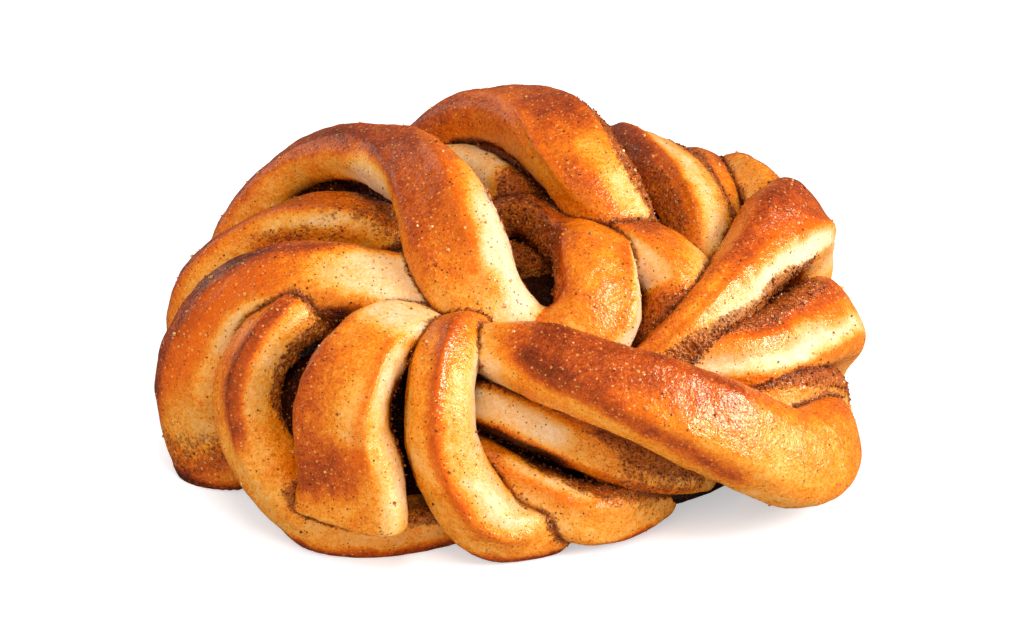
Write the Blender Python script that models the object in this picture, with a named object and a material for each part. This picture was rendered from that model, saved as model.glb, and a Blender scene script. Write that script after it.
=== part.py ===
"""Cardamom knot: a single baked dough knot, wound from one long ribbon of dough.

The ribbon shows as many overlapping strands, so each strand is swept on its own and all
of them are joined into one solid. Lengths are millimetres until the solid is finished;
it is then brought to metres. X runs along the longest side, Z is up, and the flat
underside rests on Z = 0.
"""
import math

import bmesh
import bpy
import numpy as np
from mathutils import Matrix, Quaternion, Vector

MM = 0.001

# The outline near the floor: a squarish ellipse through the middles of the strands there.
RIM_X = 50.5
RIM_Y = 46.0
RIM_POWER = 2.5
TUCK_Z = 2.0        # a strand's middle at its end, pressed flat under the knot
FLOOR_Z = 3.5       # ... where it turns under
BELLY_Z = 13.0      # ... at its widest reach
SHOULDER_Z = 25.0   # ... where it turns inwards over the knot
TUCK_REACH = 0.72
FLOOR_REACH = 0.93
SHOULDER_REACH = 0.94

# The middle of the knot, which the strands wrap: half lengths and centre height of two domes.
CORE = dict(half=(38.0, 30.0, 15.0), height=13.0)
BASE = dict(half=(45.0, 35.0, 8.0), height=5.0)

# A strand's section is a rounded rectangle, swept in steps along a smooth route.
SIDES = 12
STEP = 5.5
SQUARENESS = 3.0
CAP_RINGS = 2
CAP_REACH = 0.55    # how far an end bulges out, per millimetre of thickness
BLUNT_REACH = 0.2   # ... where the ribbon was cut off and its end lies open
CUT_STRANDS = ("front_flap",)
HEART = Vector((0.35, 0.35, 8.0))   # a broad face looks away from this low middle

# Bringing the outline's middle over the origin.
CENTRING = Vector((-0.6, -3.1, 0.0))

CRUST = (0.55, 0.25, 0.07, 1.0)


def foot(angle):
    """The lower end of a strand, from under the knot up its side, at an angle from +Y."""
    sine = math.sin(math.radians(angle))
    cosine = math.cos(math.radians(angle))
    reach = (abs(sine) ** RIM_POWER + abs(cosine) ** RIM_POWER) ** (-1 / RIM_POWER)
    x = RIM_X * sine * reach
    y = RIM_Y * cosine * reach
    return [
        (x * TUCK_REACH, y * TUCK_REACH, TUCK_Z),
        (x * FLOOR_REACH, y * FLOOR_REACH, FLOOR_Z),
        (x, y, BELLY_Z),
        (x * SHOULDER_REACH, y * SHOULDER_REACH, SHOULDER_Z),
    ]


def strands():
    """Name, widths, thicknesses and rolls spread evenly along the strand, and its route."""
    yield ("high_arch", (12, 11, 10, 9.5, 12, 15.5, 11), (9, 8, 7, 10.5, 9), (0, 0, 12, 25, 0),
           foot(-58) + [(-35.5, 27, 33), (-27.5, 22, 39.2), (-17.5, 12, 42.2), (-10.5, -2, 41.5),
                        (-7.5, -11, 37), (-3, -17, 31), (3, -19, 26)])
    yield ("pit_wall", (8, 9, 12, 13, 12), (7, 7, 9, 10, 9), (0,),
           [(-4, 10, 31), (3, 9, 34), (9, 3, 32.8), (13, -4, 34), (13.3, -10, 34.5),
            (13.5, -16, 30.5), (9, -20, 26), (2, -19, 24)])
    yield ("left_upper", (12, 12, 11, 9), (9,), (0,),
           foot(-75)[:3] + [(-47.3, 11.5, 21.5), (-38, 14, 27.6), (-30, 12, 31), (-21, 9, 31),
                            (-14, 7, 26), (-9, 6, 20)])
    yield ("left_outer", (10, 13, 14, 15, 15), (8, 9, 10, 11, 9), (0, 0, 0, -15, -35),
           [(-5, -13, 23), (-13, -12, 29.3), (-21, -11.5, 31.2), (-29, -10, 31.2), (-37, -9, 29.3),
            (-43.3, -9, 24.5), (-47, -11, 17), (-47, -12, 9), (-44, -14, 2)])
    yield ("front_left", (9, 10, 10, 9), (8, 9, 9, 8, 7), (0, 5, 10, 0, 0),
           [(-25, -10, 24), (-30.5, -13, 28), (-36, -18, 26), (-39, -22, 21), (-39, -25, 16),
            (-36, -28.5, 11), (-32.5, -31, 7), (-27.5, -34, 4), (-20, -35, 3), (-6, -31, 4)])
    yield ("front_flap", (9, 12, 14, 17.5), (8, 8, 9, 7), (0,),
           [(-9, -17, 22), (-13, -20, 28), (-20, -28, 30), (-23.5, -34, 26), (-24.3, -36, 20),
            (-23.2, -37.3, 14), (-23.3, -38.6, 7.5)])
    yield ("front_loop", (8, 9, 9.5, 11, 10), (8, 9, 9, 10, 8), (0, 35, 40, 35, 0),
           [(-3, -20, 24), (-6.7, -24, 29), (-9, -30, 29), (-10, -35, 24), (-9.2, -37, 17),
            (-6, -37.5, 10), (-1, -37.5, 5), (5.5, -35, 4)])
    yield ("front_bar", (7, 12, 14, 15, 12), (8, 10, 12, 12, 10), (0,),
           [(-5, -22, 24), (-3, -26, 28), (4, -30, 29), (12, -34, 28), (21, -35, 25),
            (30, -34, 20.2), (38, -31, 14.4), (43.5, -27.2, 10.8), (48, -18.5, 9), (47.5, -9, 5)])
    yield ("below_bar", (7, 7.5, 7.5, 8), (8,), (0,),
           [(-10, -26, 21), (-5, -28, 21), (3, -30, 18.5), (13, -31.5, 14.2), (22, -29, 10),
            (28, -23, 7)])
    yield ("front_foot", (8, 8, 8.5, 9.5, 9), (8, 8, 7), (0,),
           [(-8, -29, 14), (-3, -32, 12), (4, -34.3, 9), (12, -35, 6), (17, -32, 5),
            (22, -27, 5)])
    yield ("crown_arch", (13, 12, 12, 14, 10), (9, 8, 9, 10, 9), (0, 0, 10, 20, 0),
           foot(-29) + [(-13.7, 37.7, 32.6), (-8.7, 34.7, 37.7), (-3, 31, 41.6), (3, 24, 44),
                        (8.2, 15, 44), (12, 8, 41.8), (17, 3, 36), (20, -2, 27)])
    yield ("inner_arch", (10,), (8,), (0,),
           [(-16, 30, 28), (-9, 26, 34), (-2, 20, 35), (4, 12, 33), (8, 6, 28)])
    yield ("centre_twist", (9, 12, 13, 12), (8, 9, 10, 9), (0,),
           [(13, 5, 28), (17, 1, 32.5), (22, -3, 33), (26, -6, 30), (26, -10, 25), (22, -14, 20)])
    yield ("back_right", (12, 13, 13, 10), (9, 9, 10, 9), (0, 0, 12, 0),
           foot(18) + [(19, 37, 31.3), (23, 28, 34.3), (27.5, 19, 34.3), (30.5, 10, 31),
                       (30, 2, 25)])
    yield ("back_corner", (12, 12, 13, 10), (9, 9, 8), (0,),
           foot(44)[:3] + [(37.3, 34.3, 21.5), (38.2, 31.7, 27.3), (41, 25, 29.5),
                           (42.5, 17, 28.5), (38, 9, 24)])
    yield ("right_fan", (7, 10, 14, 17, 14), (7, 9, 10, 11, 9), (0,),
           [(18, -21, 20), (25, -18, 24.5), (32, -11, 28.5), (39, 1, 31), (44.8, 12, 31.5),
            (45.5, 20, 24.5), (44, 22, 13), (40, 20, 3.5), (31, 15, 2)])
    yield ("right_middle", (7, 11, 13, 14, 12), (7, 9, 10, 10, 8), (0,),
           [(20, -19, 19), (27, -18, 22), (36, -16, 22), (44, -8, 21.3), (49.5, 1.5, 19.3),
            (49, 9, 11), (47, 12, 2)])
    yield ("right_low", (8, 10, 10, 10), (8, 9, 8), (0,),
           [(30, -20, 15), (37, -18, 16.5), (43.5, -15, 15), (48, -9, 11), (50, -3, 4)])
    yield ("back_left", (13, 13, 12, 10), (9, 9, 8), (0,),
           foot(-43) + [(-28, 29, 30), (-20, 20, 31), (-13, 10, 28)])
    yield ("back_middle", (13, 13, 12, 10), (9, 9, 8), (0,),
           foot(-14) + [(-6, 38, 33), (0, 28, 36), (7, 17, 34)])
    yield ("back_centre", (12, 13, 12, 10), (9, 9, 8), (0,),
           foot(3) + [(9, 38, 32), (15, 28, 34), (19, 16, 31)])
    yield ("back_inner", (12, 12, 11, 10), (9, 9, 8), (0,),
           foot(31) + [(31, 33, 29.3), (33.5, 24, 30.5), (35, 13, 27)])
    yield ("deep_left", (12,), (9,), (0,),
           [(-42, 2, 12), (-34, 2, 22), (-22, 1, 26), (-8, 2, 28), (4, 6, 26)])
    yield ("deep_middle", (12,), (9,), (0,),
           [(-24, 24, 22), (-16, 12, 28), (-8, 0, 29), (-2, -10, 27)])
    yield ("deep_front", (10,), (9,), (0,),
           [(-14, -22, 14), (-22, -20, 18), (-30, -18, 17), (-33, -24, 9)])


def smooth_route(knots, points, places):
    """A natural cubic spline through the points, read at the places along it."""
    count = len(knots)
    gaps = np.diff(knots)
    slopes = np.diff(points, axis=0) / gaps[:, None]
    system = np.eye(count)
    rhs = np.zeros((count, 3))
    for i in range(1, count - 1):
        system[i, i - 1:i + 2] = (gaps[i - 1], 2 * (gaps[i - 1] + gaps[i]), gaps[i])
        rhs[i] = 6 * (slopes[i] - slopes[i - 1])
    bend = np.linalg.solve(system, rhs)
    span = np.clip(np.searchsorted(knots, places) - 1, 0, count - 2)
    gap = gaps[span][:, None]
    ahead = places[:, None] - knots[span][:, None]
    behind = gap - ahead
    curve = (bend[span] * behind ** 3 + bend[span + 1] * ahead ** 3) / (6 * gap)
    curve += (points[span] / gap - bend[span] * gap / 6) * behind
    curve += (points[span + 1] / gap - bend[span + 1] * gap / 6) * ahead
    return curve


def eased(values, share):
    """Values spread evenly along a strand, read at a share of its length with soft steps."""
    if len(values) == 1:
        return values[0]
    place = share * (len(values) - 1)
    i = min(int(place), len(values) - 2)
    blend = place - i
    blend = blend * blend * (3 - 2 * blend)
    return values[i] * (1 - blend) + values[i + 1] * blend


def carried_normals(path, tangents):
    """The broad face's direction: outwards at the highest point, carried along without twist."""
    top = int(np.argmax(path[:, 2]))
    away = Vector(path[top]) * (1 - HEART.x)
    away.z = max(path[top][2] - HEART.z, 2.0)
    tangent = Vector(tangents[top])
    normals = {top: (away - tangent * away.dot(tangent)).normalized()}
    for walk, back in ((range(top + 1, len(path)), -1), (range(top - 1, -1, -1), 1)):
        for i in walk:
            turn = Vector(tangents[i + back]).rotation_difference(Vector(tangents[i]))
            normals[i] = (turn @ normals[i + back]).normalized()
    return normals


def sections(widths, thicks, rolls, route):
    """Centre, tangent, side, normal, width and thickness at even steps along a strand."""
    points = np.array(route, float)
    knots = np.concatenate([[0.0], np.cumsum(np.linalg.norm(np.diff(points, axis=0), axis=1))])
    count = max(int(round(knots[-1] / STEP)), 4) + 1
    path = smooth_route(knots, points, np.linspace(0.0, knots[-1], count))
    tangents = np.gradient(path, axis=0)
    tangents /= np.linalg.norm(tangents, axis=1)[:, None]
    normals = carried_normals(path, tangents)
    for i in range(count):
        share = i / (count - 1)
        tangent = Vector(tangents[i])
        normal = Quaternion(tangent, math.radians(eased(rolls, share))) @ normals[i]
        side = normal.cross(tangent)
        yield (Vector(path[i]), tangent, side, normal, eased(widths, share), eased(thicks, share))


def ring(bm, section, size=1.0, shift=0.0):
    """One ring of vertices: a rounded rectangle, scaled, and shifted along the strand."""
    centre, tangent, side, normal, width, thick = section
    verts = []
    for k in range(SIDES):
        angle = 2 * math.pi * k / SIDES
        across = math.copysign(abs(math.cos(angle)) ** (2 / SQUARENESS), math.cos(angle))
        up = math.copysign(abs(math.sin(angle)) ** (2 / SQUARENESS), math.sin(angle))
        offset = side * (across * width / 2 * size) + normal * (up * thick / 2 * size)
        verts.append(bm.verts.new(centre + tangent * shift + offset))
    return verts


def end_rings(bm, section, direction, bulge=CAP_REACH):
    """The rings of a rounded end, from its base outwards, and the vertex at its tip."""
    reach = section[5] * bulge
    rings = []
    for j in range(1, CAP_RINGS + 1):
        angle = math.pi / 2 * j / (CAP_RINGS + 1)
        rings.append(ring(bm, section, math.cos(angle), direction * math.sin(angle) * reach))
    tip = bm.verts.new(section[0] + section[1] * (direction * reach))
    return rings, tip


def strand_object(name, widths, thicks, rolls, route):
    """A closed tube of dough along the route."""
    along = list(sections(widths, thicks, rolls, route))
    bm = bmesh.new()
    head, head_tip = end_rings(bm, along[0], -1)
    rings = head[::-1] + [ring(bm, section) for section in along]
    bulge = BLUNT_REACH if name in CUT_STRANDS else CAP_REACH
    tail, tail_tip = end_rings(bm, along[-1], 1, bulge)
    rings += tail
    for first, second in zip(rings, rings[1:]):
        for k in range(SIDES):
            j = (k + 1) % SIDES
            bm.faces.new((first[k], first[j], second[j], second[k]))
    for k in range(SIDES):
        j = (k + 1) % SIDES
        bm.faces.new((head_tip, rings[0][j], rings[0][k]))
        bm.faces.new((tail_tip, rings[-1][k], rings[-1][j]))
    bmesh.ops.recalc_face_normals(bm, faces=bm.faces)
    return mesh_object(name, bm)


def dome_object(name, half, height):
    """An ellipsoid in the middle of the knot."""
    bm = bmesh.new()
    bmesh.ops.create_uvsphere(bm, u_segments=28, v_segments=12, radius=1.0)
    bm.transform(Matrix.Translation((0.0, 0.0, height)) @ Matrix.Diagonal((*half, 1.0)))
    return mesh_object(name, bm)


def floor_cutter():
    """Everything below the floor, which presses the underside flat."""
    bm = bmesh.new()
    bmesh.ops.create_cube(bm, size=1.0)
    bm.transform(Matrix.Translation((0.0, 0.0, -20.0)) @ Matrix.Diagonal((160.0, 160.0, 40.0, 1.0)))
    return mesh_object("below_floor", bm)


def mesh_object(name, bm):
    mesh = bpy.data.meshes.new(name)
    bm.to_mesh(mesh)
    bm.free()
    obj = bpy.data.objects.new(name, mesh)
    bpy.context.scene.collection.objects.link(obj)
    return obj


def apply_boolean(obj, operation, target=None, collection=None):
    """Joins a whole collection to the object, or cuts the target away, and applies it."""
    modifier = obj.modifiers.new("join", "BOOLEAN")
    modifier.operation = operation
    modifier.solver = "EXACT"
    if collection:
        modifier.operand_type = "COLLECTION"
        modifier.collection = collection
    else:
        modifier.object = target
    graph = bpy.context.evaluated_depsgraph_get()
    mesh = bpy.data.meshes.new_from_object(obj.evaluated_get(graph))
    obj.modifiers.clear()
    obj.data = mesh


def keep_outer_body(obj):
    """Drops sealed hollows and loose scraps: only the body that reaches furthest stays."""
    bm = bmesh.new()
    bm.from_mesh(obj.data)
    bm.verts.ensure_lookup_table()
    unseen = set(bm.verts)
    bodies = []
    while unseen:
        body = set()
        stack = [unseen.pop()]
        while stack:
            vert = stack.pop()
            body.add(vert)
            for edge in vert.link_edges:
                other = edge.other_vert(vert)
                if other in unseen:
                    unseen.discard(other)
                    stack.append(other)
        bodies.append(body)
    outer = max(bodies, key=lambda body: max(v.co.x for v in body) - min(v.co.x for v in body))
    scraps = [vert for body in bodies if body is not outer for vert in body]
    bmesh.ops.delete(bm, geom=scraps, context="VERTS")
    bmesh.ops.triangulate(bm, faces=bm.faces)
    bm.to_mesh(obj.data)
    bm.free()


def crust_material():
    material = bpy.data.materials.new("baked_crust")
    material.use_nodes = True
    shader = material.node_tree.nodes["Principled BSDF"]
    shader.inputs["Base Color"].default_value = CRUST
    shader.inputs["Roughness"].default_value = 0.35
    shader.inputs["Metallic"].default_value = 0.0
    return material


def build_knot():
    """The whole knot as one solid, named knot."""
    knot = dome_object("knot", **CORE)
    pieces = bpy.data.collections.new("strand_pieces")
    bpy.context.scene.collection.children.link(pieces)
    parts = [dome_object("base", **BASE)]
    parts += [strand_object(*strand) for strand in strands()]
    for part in parts:
        bpy.context.scene.collection.objects.unlink(part)
        pieces.objects.link(part)
    apply_boolean(knot, "UNION", collection=pieces)
    for part in parts:
        bpy.data.objects.remove(part)
    bpy.data.collections.remove(pieces)

    cutter = floor_cutter()
    apply_boolean(knot, "DIFFERENCE", target=cutter)
    bpy.data.objects.remove(cutter)
    keep_outer_body(knot)

    knot.data.transform(Matrix.Scale(MM, 4) @ Matrix.Translation(CENTRING))
    knot.data.materials.clear()
    knot.data.materials.append(crust_material())
    knot.data.shade_smooth()
    knot.data.set_sharp_from_angle(angle=math.radians(40))
    return knot


for old in list(bpy.data.objects):
    bpy.data.objects.remove(old)
build_knot()
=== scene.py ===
"""Cardamom knot: how the baked and glazed dough looks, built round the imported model."""

import itertools
import math

import bpy
import numpy as np
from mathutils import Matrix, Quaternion, Vector
from mathutils.bvhtree import BVHTree
from mathutils.kdtree import KDTree


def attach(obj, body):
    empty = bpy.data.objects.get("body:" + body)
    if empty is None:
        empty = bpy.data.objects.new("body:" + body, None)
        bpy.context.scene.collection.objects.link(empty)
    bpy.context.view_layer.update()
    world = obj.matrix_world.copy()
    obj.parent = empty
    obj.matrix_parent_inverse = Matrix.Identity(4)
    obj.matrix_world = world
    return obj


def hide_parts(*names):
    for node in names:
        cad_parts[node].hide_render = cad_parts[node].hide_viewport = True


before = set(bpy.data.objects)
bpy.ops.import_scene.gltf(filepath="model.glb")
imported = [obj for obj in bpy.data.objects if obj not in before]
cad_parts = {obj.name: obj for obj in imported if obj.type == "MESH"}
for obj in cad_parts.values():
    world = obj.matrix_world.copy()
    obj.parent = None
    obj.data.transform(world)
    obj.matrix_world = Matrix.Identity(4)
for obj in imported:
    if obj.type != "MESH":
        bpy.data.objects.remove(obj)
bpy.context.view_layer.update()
bpy.ops.object.select_all(action="DESELECT")


# ---------------------------------------------------------------------------------------
# Middle of the knot. The ribbon's hidden inner windings are one soft heap of sweet wheat
# dough, smeared with butter, sugar, cinnamon and cardamom, and pressed flat underneath.
# It shows only as the dark floor of the gaps, painted in full shade. All numbers here are
# millimetres.
# ---------------------------------------------------------------------------------------
MM = 0.001
CENTRING = np.array([-0.6, -3.1, 0.0])      # brings the outline's middle over the origin
REST_Z = 0.03                               # the flat underside stands this far off the floor
HEAP = (38.0, 30.0, 15.0), 13.0             # half sizes, and height of its middle
SKIRT = (45.0, 35.0, 8.0), 5.0              # the same of the flatter dough round its foot
DOME_SIDES = 96
DOME_RINGS = 40


def joined(shapes):
    """Shapes, each a list of points and one of faces, as one shape."""
    shifts = np.cumsum([0] + [len(points) for points, _ in shapes])
    faces = [tuple(v + shift for v in face)
             for (_, shape_faces), shift in zip(shapes, shifts) for face in shape_faces]
    return np.concatenate([points for points, _ in shapes]), faces


def new_object(name, points, faces):
    """A mesh object from points in millimetres, flat on the floor where it would sink."""
    points[:, 2] = np.maximum(points[:, 2], REST_Z)
    mesh = bpy.data.meshes.new(name)
    mesh.from_pydata((points * MM).tolist(), [], faces)
    obj = bpy.data.objects.new(name, mesh)
    bpy.context.scene.collection.objects.link(obj)
    return obj


def dough_object(name, shapes):
    """A smooth piece of dough from shapes that are drawn about the knot's own middle."""
    points, faces = joined(shapes)
    piece = new_object(name, points + CENTRING, faces)
    piece.data.shade_smooth()
    return piece


def tube_quads(rings, sides):
    """Faces between rings of points that follow one another, looking outwards."""
    k = np.arange(sides)
    j = (k + 1) % sides
    base = (np.arange(rings - 1) * sides)[:, None]
    quads = np.stack([base + k, base + j, base + sides + j, base + sides + k], -1)
    return quads.reshape(-1, 4).tolist()


def closed_tube(rings, sides):
    """The same with both ends closed, round a first and a last tip after the rings."""
    last = (rings - 1) * sides
    pairs = [(k, (k + 1) % sides) for k in range(sides)]
    return (tube_quads(rings, sides) + [(rings * sides, j, k) for k, j in pairs]
            + [(rings * sides + 1, last + k, last + j) for k, j in pairs])


def dome(half, height):
    """Points and faces of an ellipsoid with closed poles."""
    turn = np.linspace(0.0, 2 * math.pi, DOME_SIDES, endpoint=False)
    rise = np.linspace(-math.pi / 2, math.pi / 2, DOME_RINGS + 2)[1:-1]
    turn, rise = np.meshgrid(turn, rise)
    ball = np.stack([np.cos(rise) * np.cos(turn), np.cos(rise) * np.sin(turn), np.sin(rise)], -1)
    ball = np.concatenate([ball.reshape(-1, 3), [[0, 0, -1], [0, 0, 1]]])
    points = ball * np.array(half) + np.array([0.0, 0.0, height])
    return points, closed_tube(DOME_RINGS, DOME_SIDES)


laid = []       # every finished piece of dough, with what the oven needs to know of it


def lay_down(piece, strands):
    """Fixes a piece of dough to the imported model, in place of its plain solid."""
    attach(piece, "root")
    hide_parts("knot")
    laid.append(dict(piece=piece, strands=strands))


core = dough_object("dough_core", [dome(*HEAP), dome(*SKIRT)])
lay_down(core, [])


# ---------------------------------------------------------------------------------------
# Left side: two broad strands that sweep round the left end of the knot, and one deep
# under them that is painted dark as the shade of the gaps. Each is hand-stretched dough,
# about 13 mm wide, laid on with its ends tucked under its neighbours.
# ---------------------------------------------------------------------------------------
SIDES = 72              # points round a strand
RING_STEP = 0.5         # between the rings of a strand
OUTLINE_STEPS = 720     # on which the points round a strand are spaced out
CAP_RINGS = 9           # that round off each end
CAP_REACH = 0.55        # how far an end bulges out, per millimetre of thickness
RIM_X = 50.5            # a squarish ellipse through the strands' middles near the floor
RIM_Y = 46.0
RIM_POWER = 2.5
FOOT_STEPS = ((0.72, 2.0), (0.93, 3.5), (1.0, 13.0), (0.94, 25.0))   # reach and height
FACE_LEAN = 0.65        # a broad face looks up and away from the knot's low middle,
FACE_LOW = 8.0          # which lies at this height,
FACE_RISE = 2.0         # and always a little upwards
RIDGE_ENDS = (0.06, 0.04)   # share of the length outside and inside which a ridge fades
GROOVE_DEPTH = 0.5      # of the soft groove along both sides of a ridge, to its height
GROOVE_BREADTH = 2.6    # and to its breadth


def foot(angle):
    """The lower end of a strand, from under the knot up its side, at an angle from +Y."""
    sine = math.sin(math.radians(angle))
    cosine = math.cos(math.radians(angle))
    reach = (abs(sine) ** RIM_POWER + abs(cosine) ** RIM_POWER) ** (-1 / RIM_POWER)
    return [(RIM_X * sine * reach * out, RIM_Y * cosine * reach * out, z) for out, z in FOOT_STEPS]


def smooth_route(knots, points, places):
    """A natural cubic spline through the points, read at the places along it."""
    count = len(knots)
    gaps = np.diff(knots)
    slopes = np.diff(points, axis=0) / gaps[:, None]
    system = np.eye(count)
    rhs = np.zeros((count, 3))
    for i in range(1, count - 1):
        system[i, i - 1:i + 2] = (gaps[i - 1], 2 * (gaps[i - 1] + gaps[i]), gaps[i])
        rhs[i] = 6 * (slopes[i] - slopes[i - 1])
    bend = np.linalg.solve(system, rhs)
    span = np.clip(np.searchsorted(knots, places) - 1, 0, count - 2)
    gap = gaps[span][:, None]
    ahead = places[:, None] - knots[span][:, None]
    behind = gap - ahead
    curve = (bend[span] * behind ** 3 + bend[span + 1] * ahead ** 3) / (6 * gap)
    curve += (points[span] / gap - bend[span] * gap / 6) * behind
    curve += (points[span + 1] / gap - bend[span + 1] * gap / 6) * ahead
    return curve


def soft_rise(place):
    """From 0 to 1 as the place goes from 0 to 1, flat at both ends."""
    return place * place * (3 - 2 * place)


def smoothly(low, high, value):
    """0 below low, 1 above high, with a soft rise between them."""
    return soft_rise(np.clip((value - low) / (high - low), 0.0, 1.0))


def between(share, first, last, outside, inside):
    """1 between two shares of a strand's length, with soft ends."""
    return (smoothly(first - outside, first + inside, share)
            * (1 - smoothly(last - inside, last + outside, share)))


def eased(values, share):
    """Values spread evenly along a strand, read at shares of its length with soft steps."""
    values = np.array(values, float)
    if len(values) == 1:
        return np.full(len(share), values[0])
    place = share * (len(values) - 1)
    i = np.minimum(place.astype(int), len(values) - 2)
    blend = soft_rise(place - i)
    return values[i] * (1 - blend) + values[i + 1] * blend


def lengths_along(points):
    """How far each point lies along the line through them all."""
    return np.concatenate([[0.0], np.cumsum(np.linalg.norm(np.diff(points, axis=0), axis=1))])


def carried_normals(path, tangents):
    """The broad face's direction: outwards at the highest point, carried along untwisted."""
    top = int(np.argmax(path[:, 2]))
    away = Vector(path[top]) * FACE_LEAN
    away.z = max(path[top][2] - FACE_LOW, FACE_RISE)
    tangent = Vector(tangents[top])
    normals = {top: (away - tangent * away.dot(tangent)).normalized()}
    for walk, back in ((range(top + 1, len(path)), -1), (range(top - 1, -1, -1), 1)):
        for i in walk:
            turn = Vector(tangents[i + back]).rotation_difference(Vector(tangents[i]))
            normals[i] = (turn @ normals[i + back]).normalized()
    return [normals[i] for i in range(len(path))]


def apart(first, second):
    """The angle between two directions round a strand, in degrees either way."""
    return (first - second + 180.0) % 360.0 - 180.0


def strand(widths, thicks, route, rolls=(0,), square=(3.0,), ridges=(),
           ends=(CAP_REACH, CAP_REACH), **marks):
    """One strand, swept along its route as a rounded rectangle with soft ridges.

    Widths, thicknesses, rolls and squareness are spread evenly along it. Angles go round
    it in degrees: 0 is left of the way it runs, 90 its broad face and 180 its right. A
    ridge is a height, a breadth in degrees, and shares of the length with an angle each.
    A mark of the oven, of the filling or of painted shade is a strength, and shares with two
    angles each.
    """
    points = np.array(route, float)
    knots = lengths_along(points)
    count = max(int(round(knots[-1] / RING_STEP)), 4) + 1
    path = smooth_route(knots, points, np.linspace(0.0, knots[-1], count))
    tangents = np.gradient(path, axis=0)
    tangents /= np.linalg.norm(tangents, axis=1)[:, None]
    share = np.linspace(0.0, 1.0, count)
    up = np.array([Quaternion(Vector(t), math.radians(r)) @ n for t, r, n in
                   zip(tangents, eased(rolls, share), carried_normals(path, tangents))])
    side = np.cross(up, tangents)
    width = eased(widths, share) / 2
    thick = eased(thicks, share) / 2
    power = 2 / eased(square, share)

    # Where the points stand round the strand, evenly spaced on its mean outline.
    fine = np.linspace(0.0, 2 * math.pi, OUTLINE_STEPS + 1)
    mean = power.mean()
    run = lengths_along(np.stack([
        np.sign(np.cos(fine)) * np.abs(np.cos(fine)) ** mean * width.mean(),
        np.sign(np.sin(fine)) * np.abs(np.sin(fine)) ** mean * thick.mean()], 1))
    around = np.linspace(0.0, run[-1], SIDES, endpoint=False)
    turn = np.interp(around, run, fine)

    # The ends: rings that shrink while they move outwards.
    cap = np.linspace(0.0, math.pi / 2, CAP_RINGS + 2)[1:-1]
    ring = np.concatenate([np.zeros(CAP_RINGS, int), np.arange(count),
                           np.full(CAP_RINGS, count - 1)])
    size = np.concatenate([np.cos(cap)[::-1], np.ones(count), np.cos(cap)])
    shift = np.concatenate([-np.sin(cap)[::-1] * thick[0] * 2 * ends[0], np.zeros(count),
                            np.sin(cap) * thick[-1] * 2 * ends[1]])

    # The skin, with its ridges.
    cosine = np.cos(turn)[None, :]
    sine = np.sin(turn)[None, :]
    across = np.sign(cosine) * np.abs(cosine) ** power[ring][:, None] * width[ring][:, None]
    rise = np.sign(sine) * np.abs(sine) ** power[ring][:, None] * thick[ring][:, None]
    swell = np.ones(across.shape)
    for height, breadth, *rows in ridges:
        rows = np.array(rows, float)
        line = np.interp(share[ring], rows[:, 0], rows[:, 1])[:, None]
        off = np.abs(apart(np.degrees(turn)[None, :], line))
        fade = between(share[ring], rows[0, 0], rows[-1, 0], *RIDGE_ENDS)
        crest = (np.exp(-(off / breadth) ** 2)
                 - GROOVE_DEPTH * np.exp(-(off / (GROOVE_BREADTH * breadth)) ** 2))
        swell += height * fade[:, None] * crest
    swell *= size[:, None]
    grid = (path[ring][:, None] + tangents[ring][:, None] * shift[:, None, None]
            + side[ring][:, None] * (across * swell)[:, :, None]
            + up[ring][:, None] * (rise * swell)[:, :, None])
    tips = [path[0] - tangents[0] * thick[0] * 2 * ends[0],
            path[-1] + tangents[-1] * thick[-1] * 2 * ends[1]]
    rings = len(ring)
    along = share[ring] * knots[-1] + shift
    return dict(grid=grid, faces=closed_tube(rings, SIDES), marks=marks, fuse=None,
                points=np.concatenate([grid.reshape(-1, 3), tips]),
                share=np.concatenate([np.repeat(share[ring], SIDES), [0.0, 1.0]]),
                angle=np.concatenate([np.tile(np.degrees(turn), rings), [90.0, 90.0]]),
                along=np.concatenate([np.repeat(along, SIDES), along[[0, -1]]]),
                around=np.concatenate([np.tile(around, rings), [0.0, 0.0]]))


def strand_piece(name, *strands):
    """One piece from a few neighbouring strands."""
    lay_down(dough_object(name, [(s["points"], s["faces"]) for s in strands]), strands)


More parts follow.
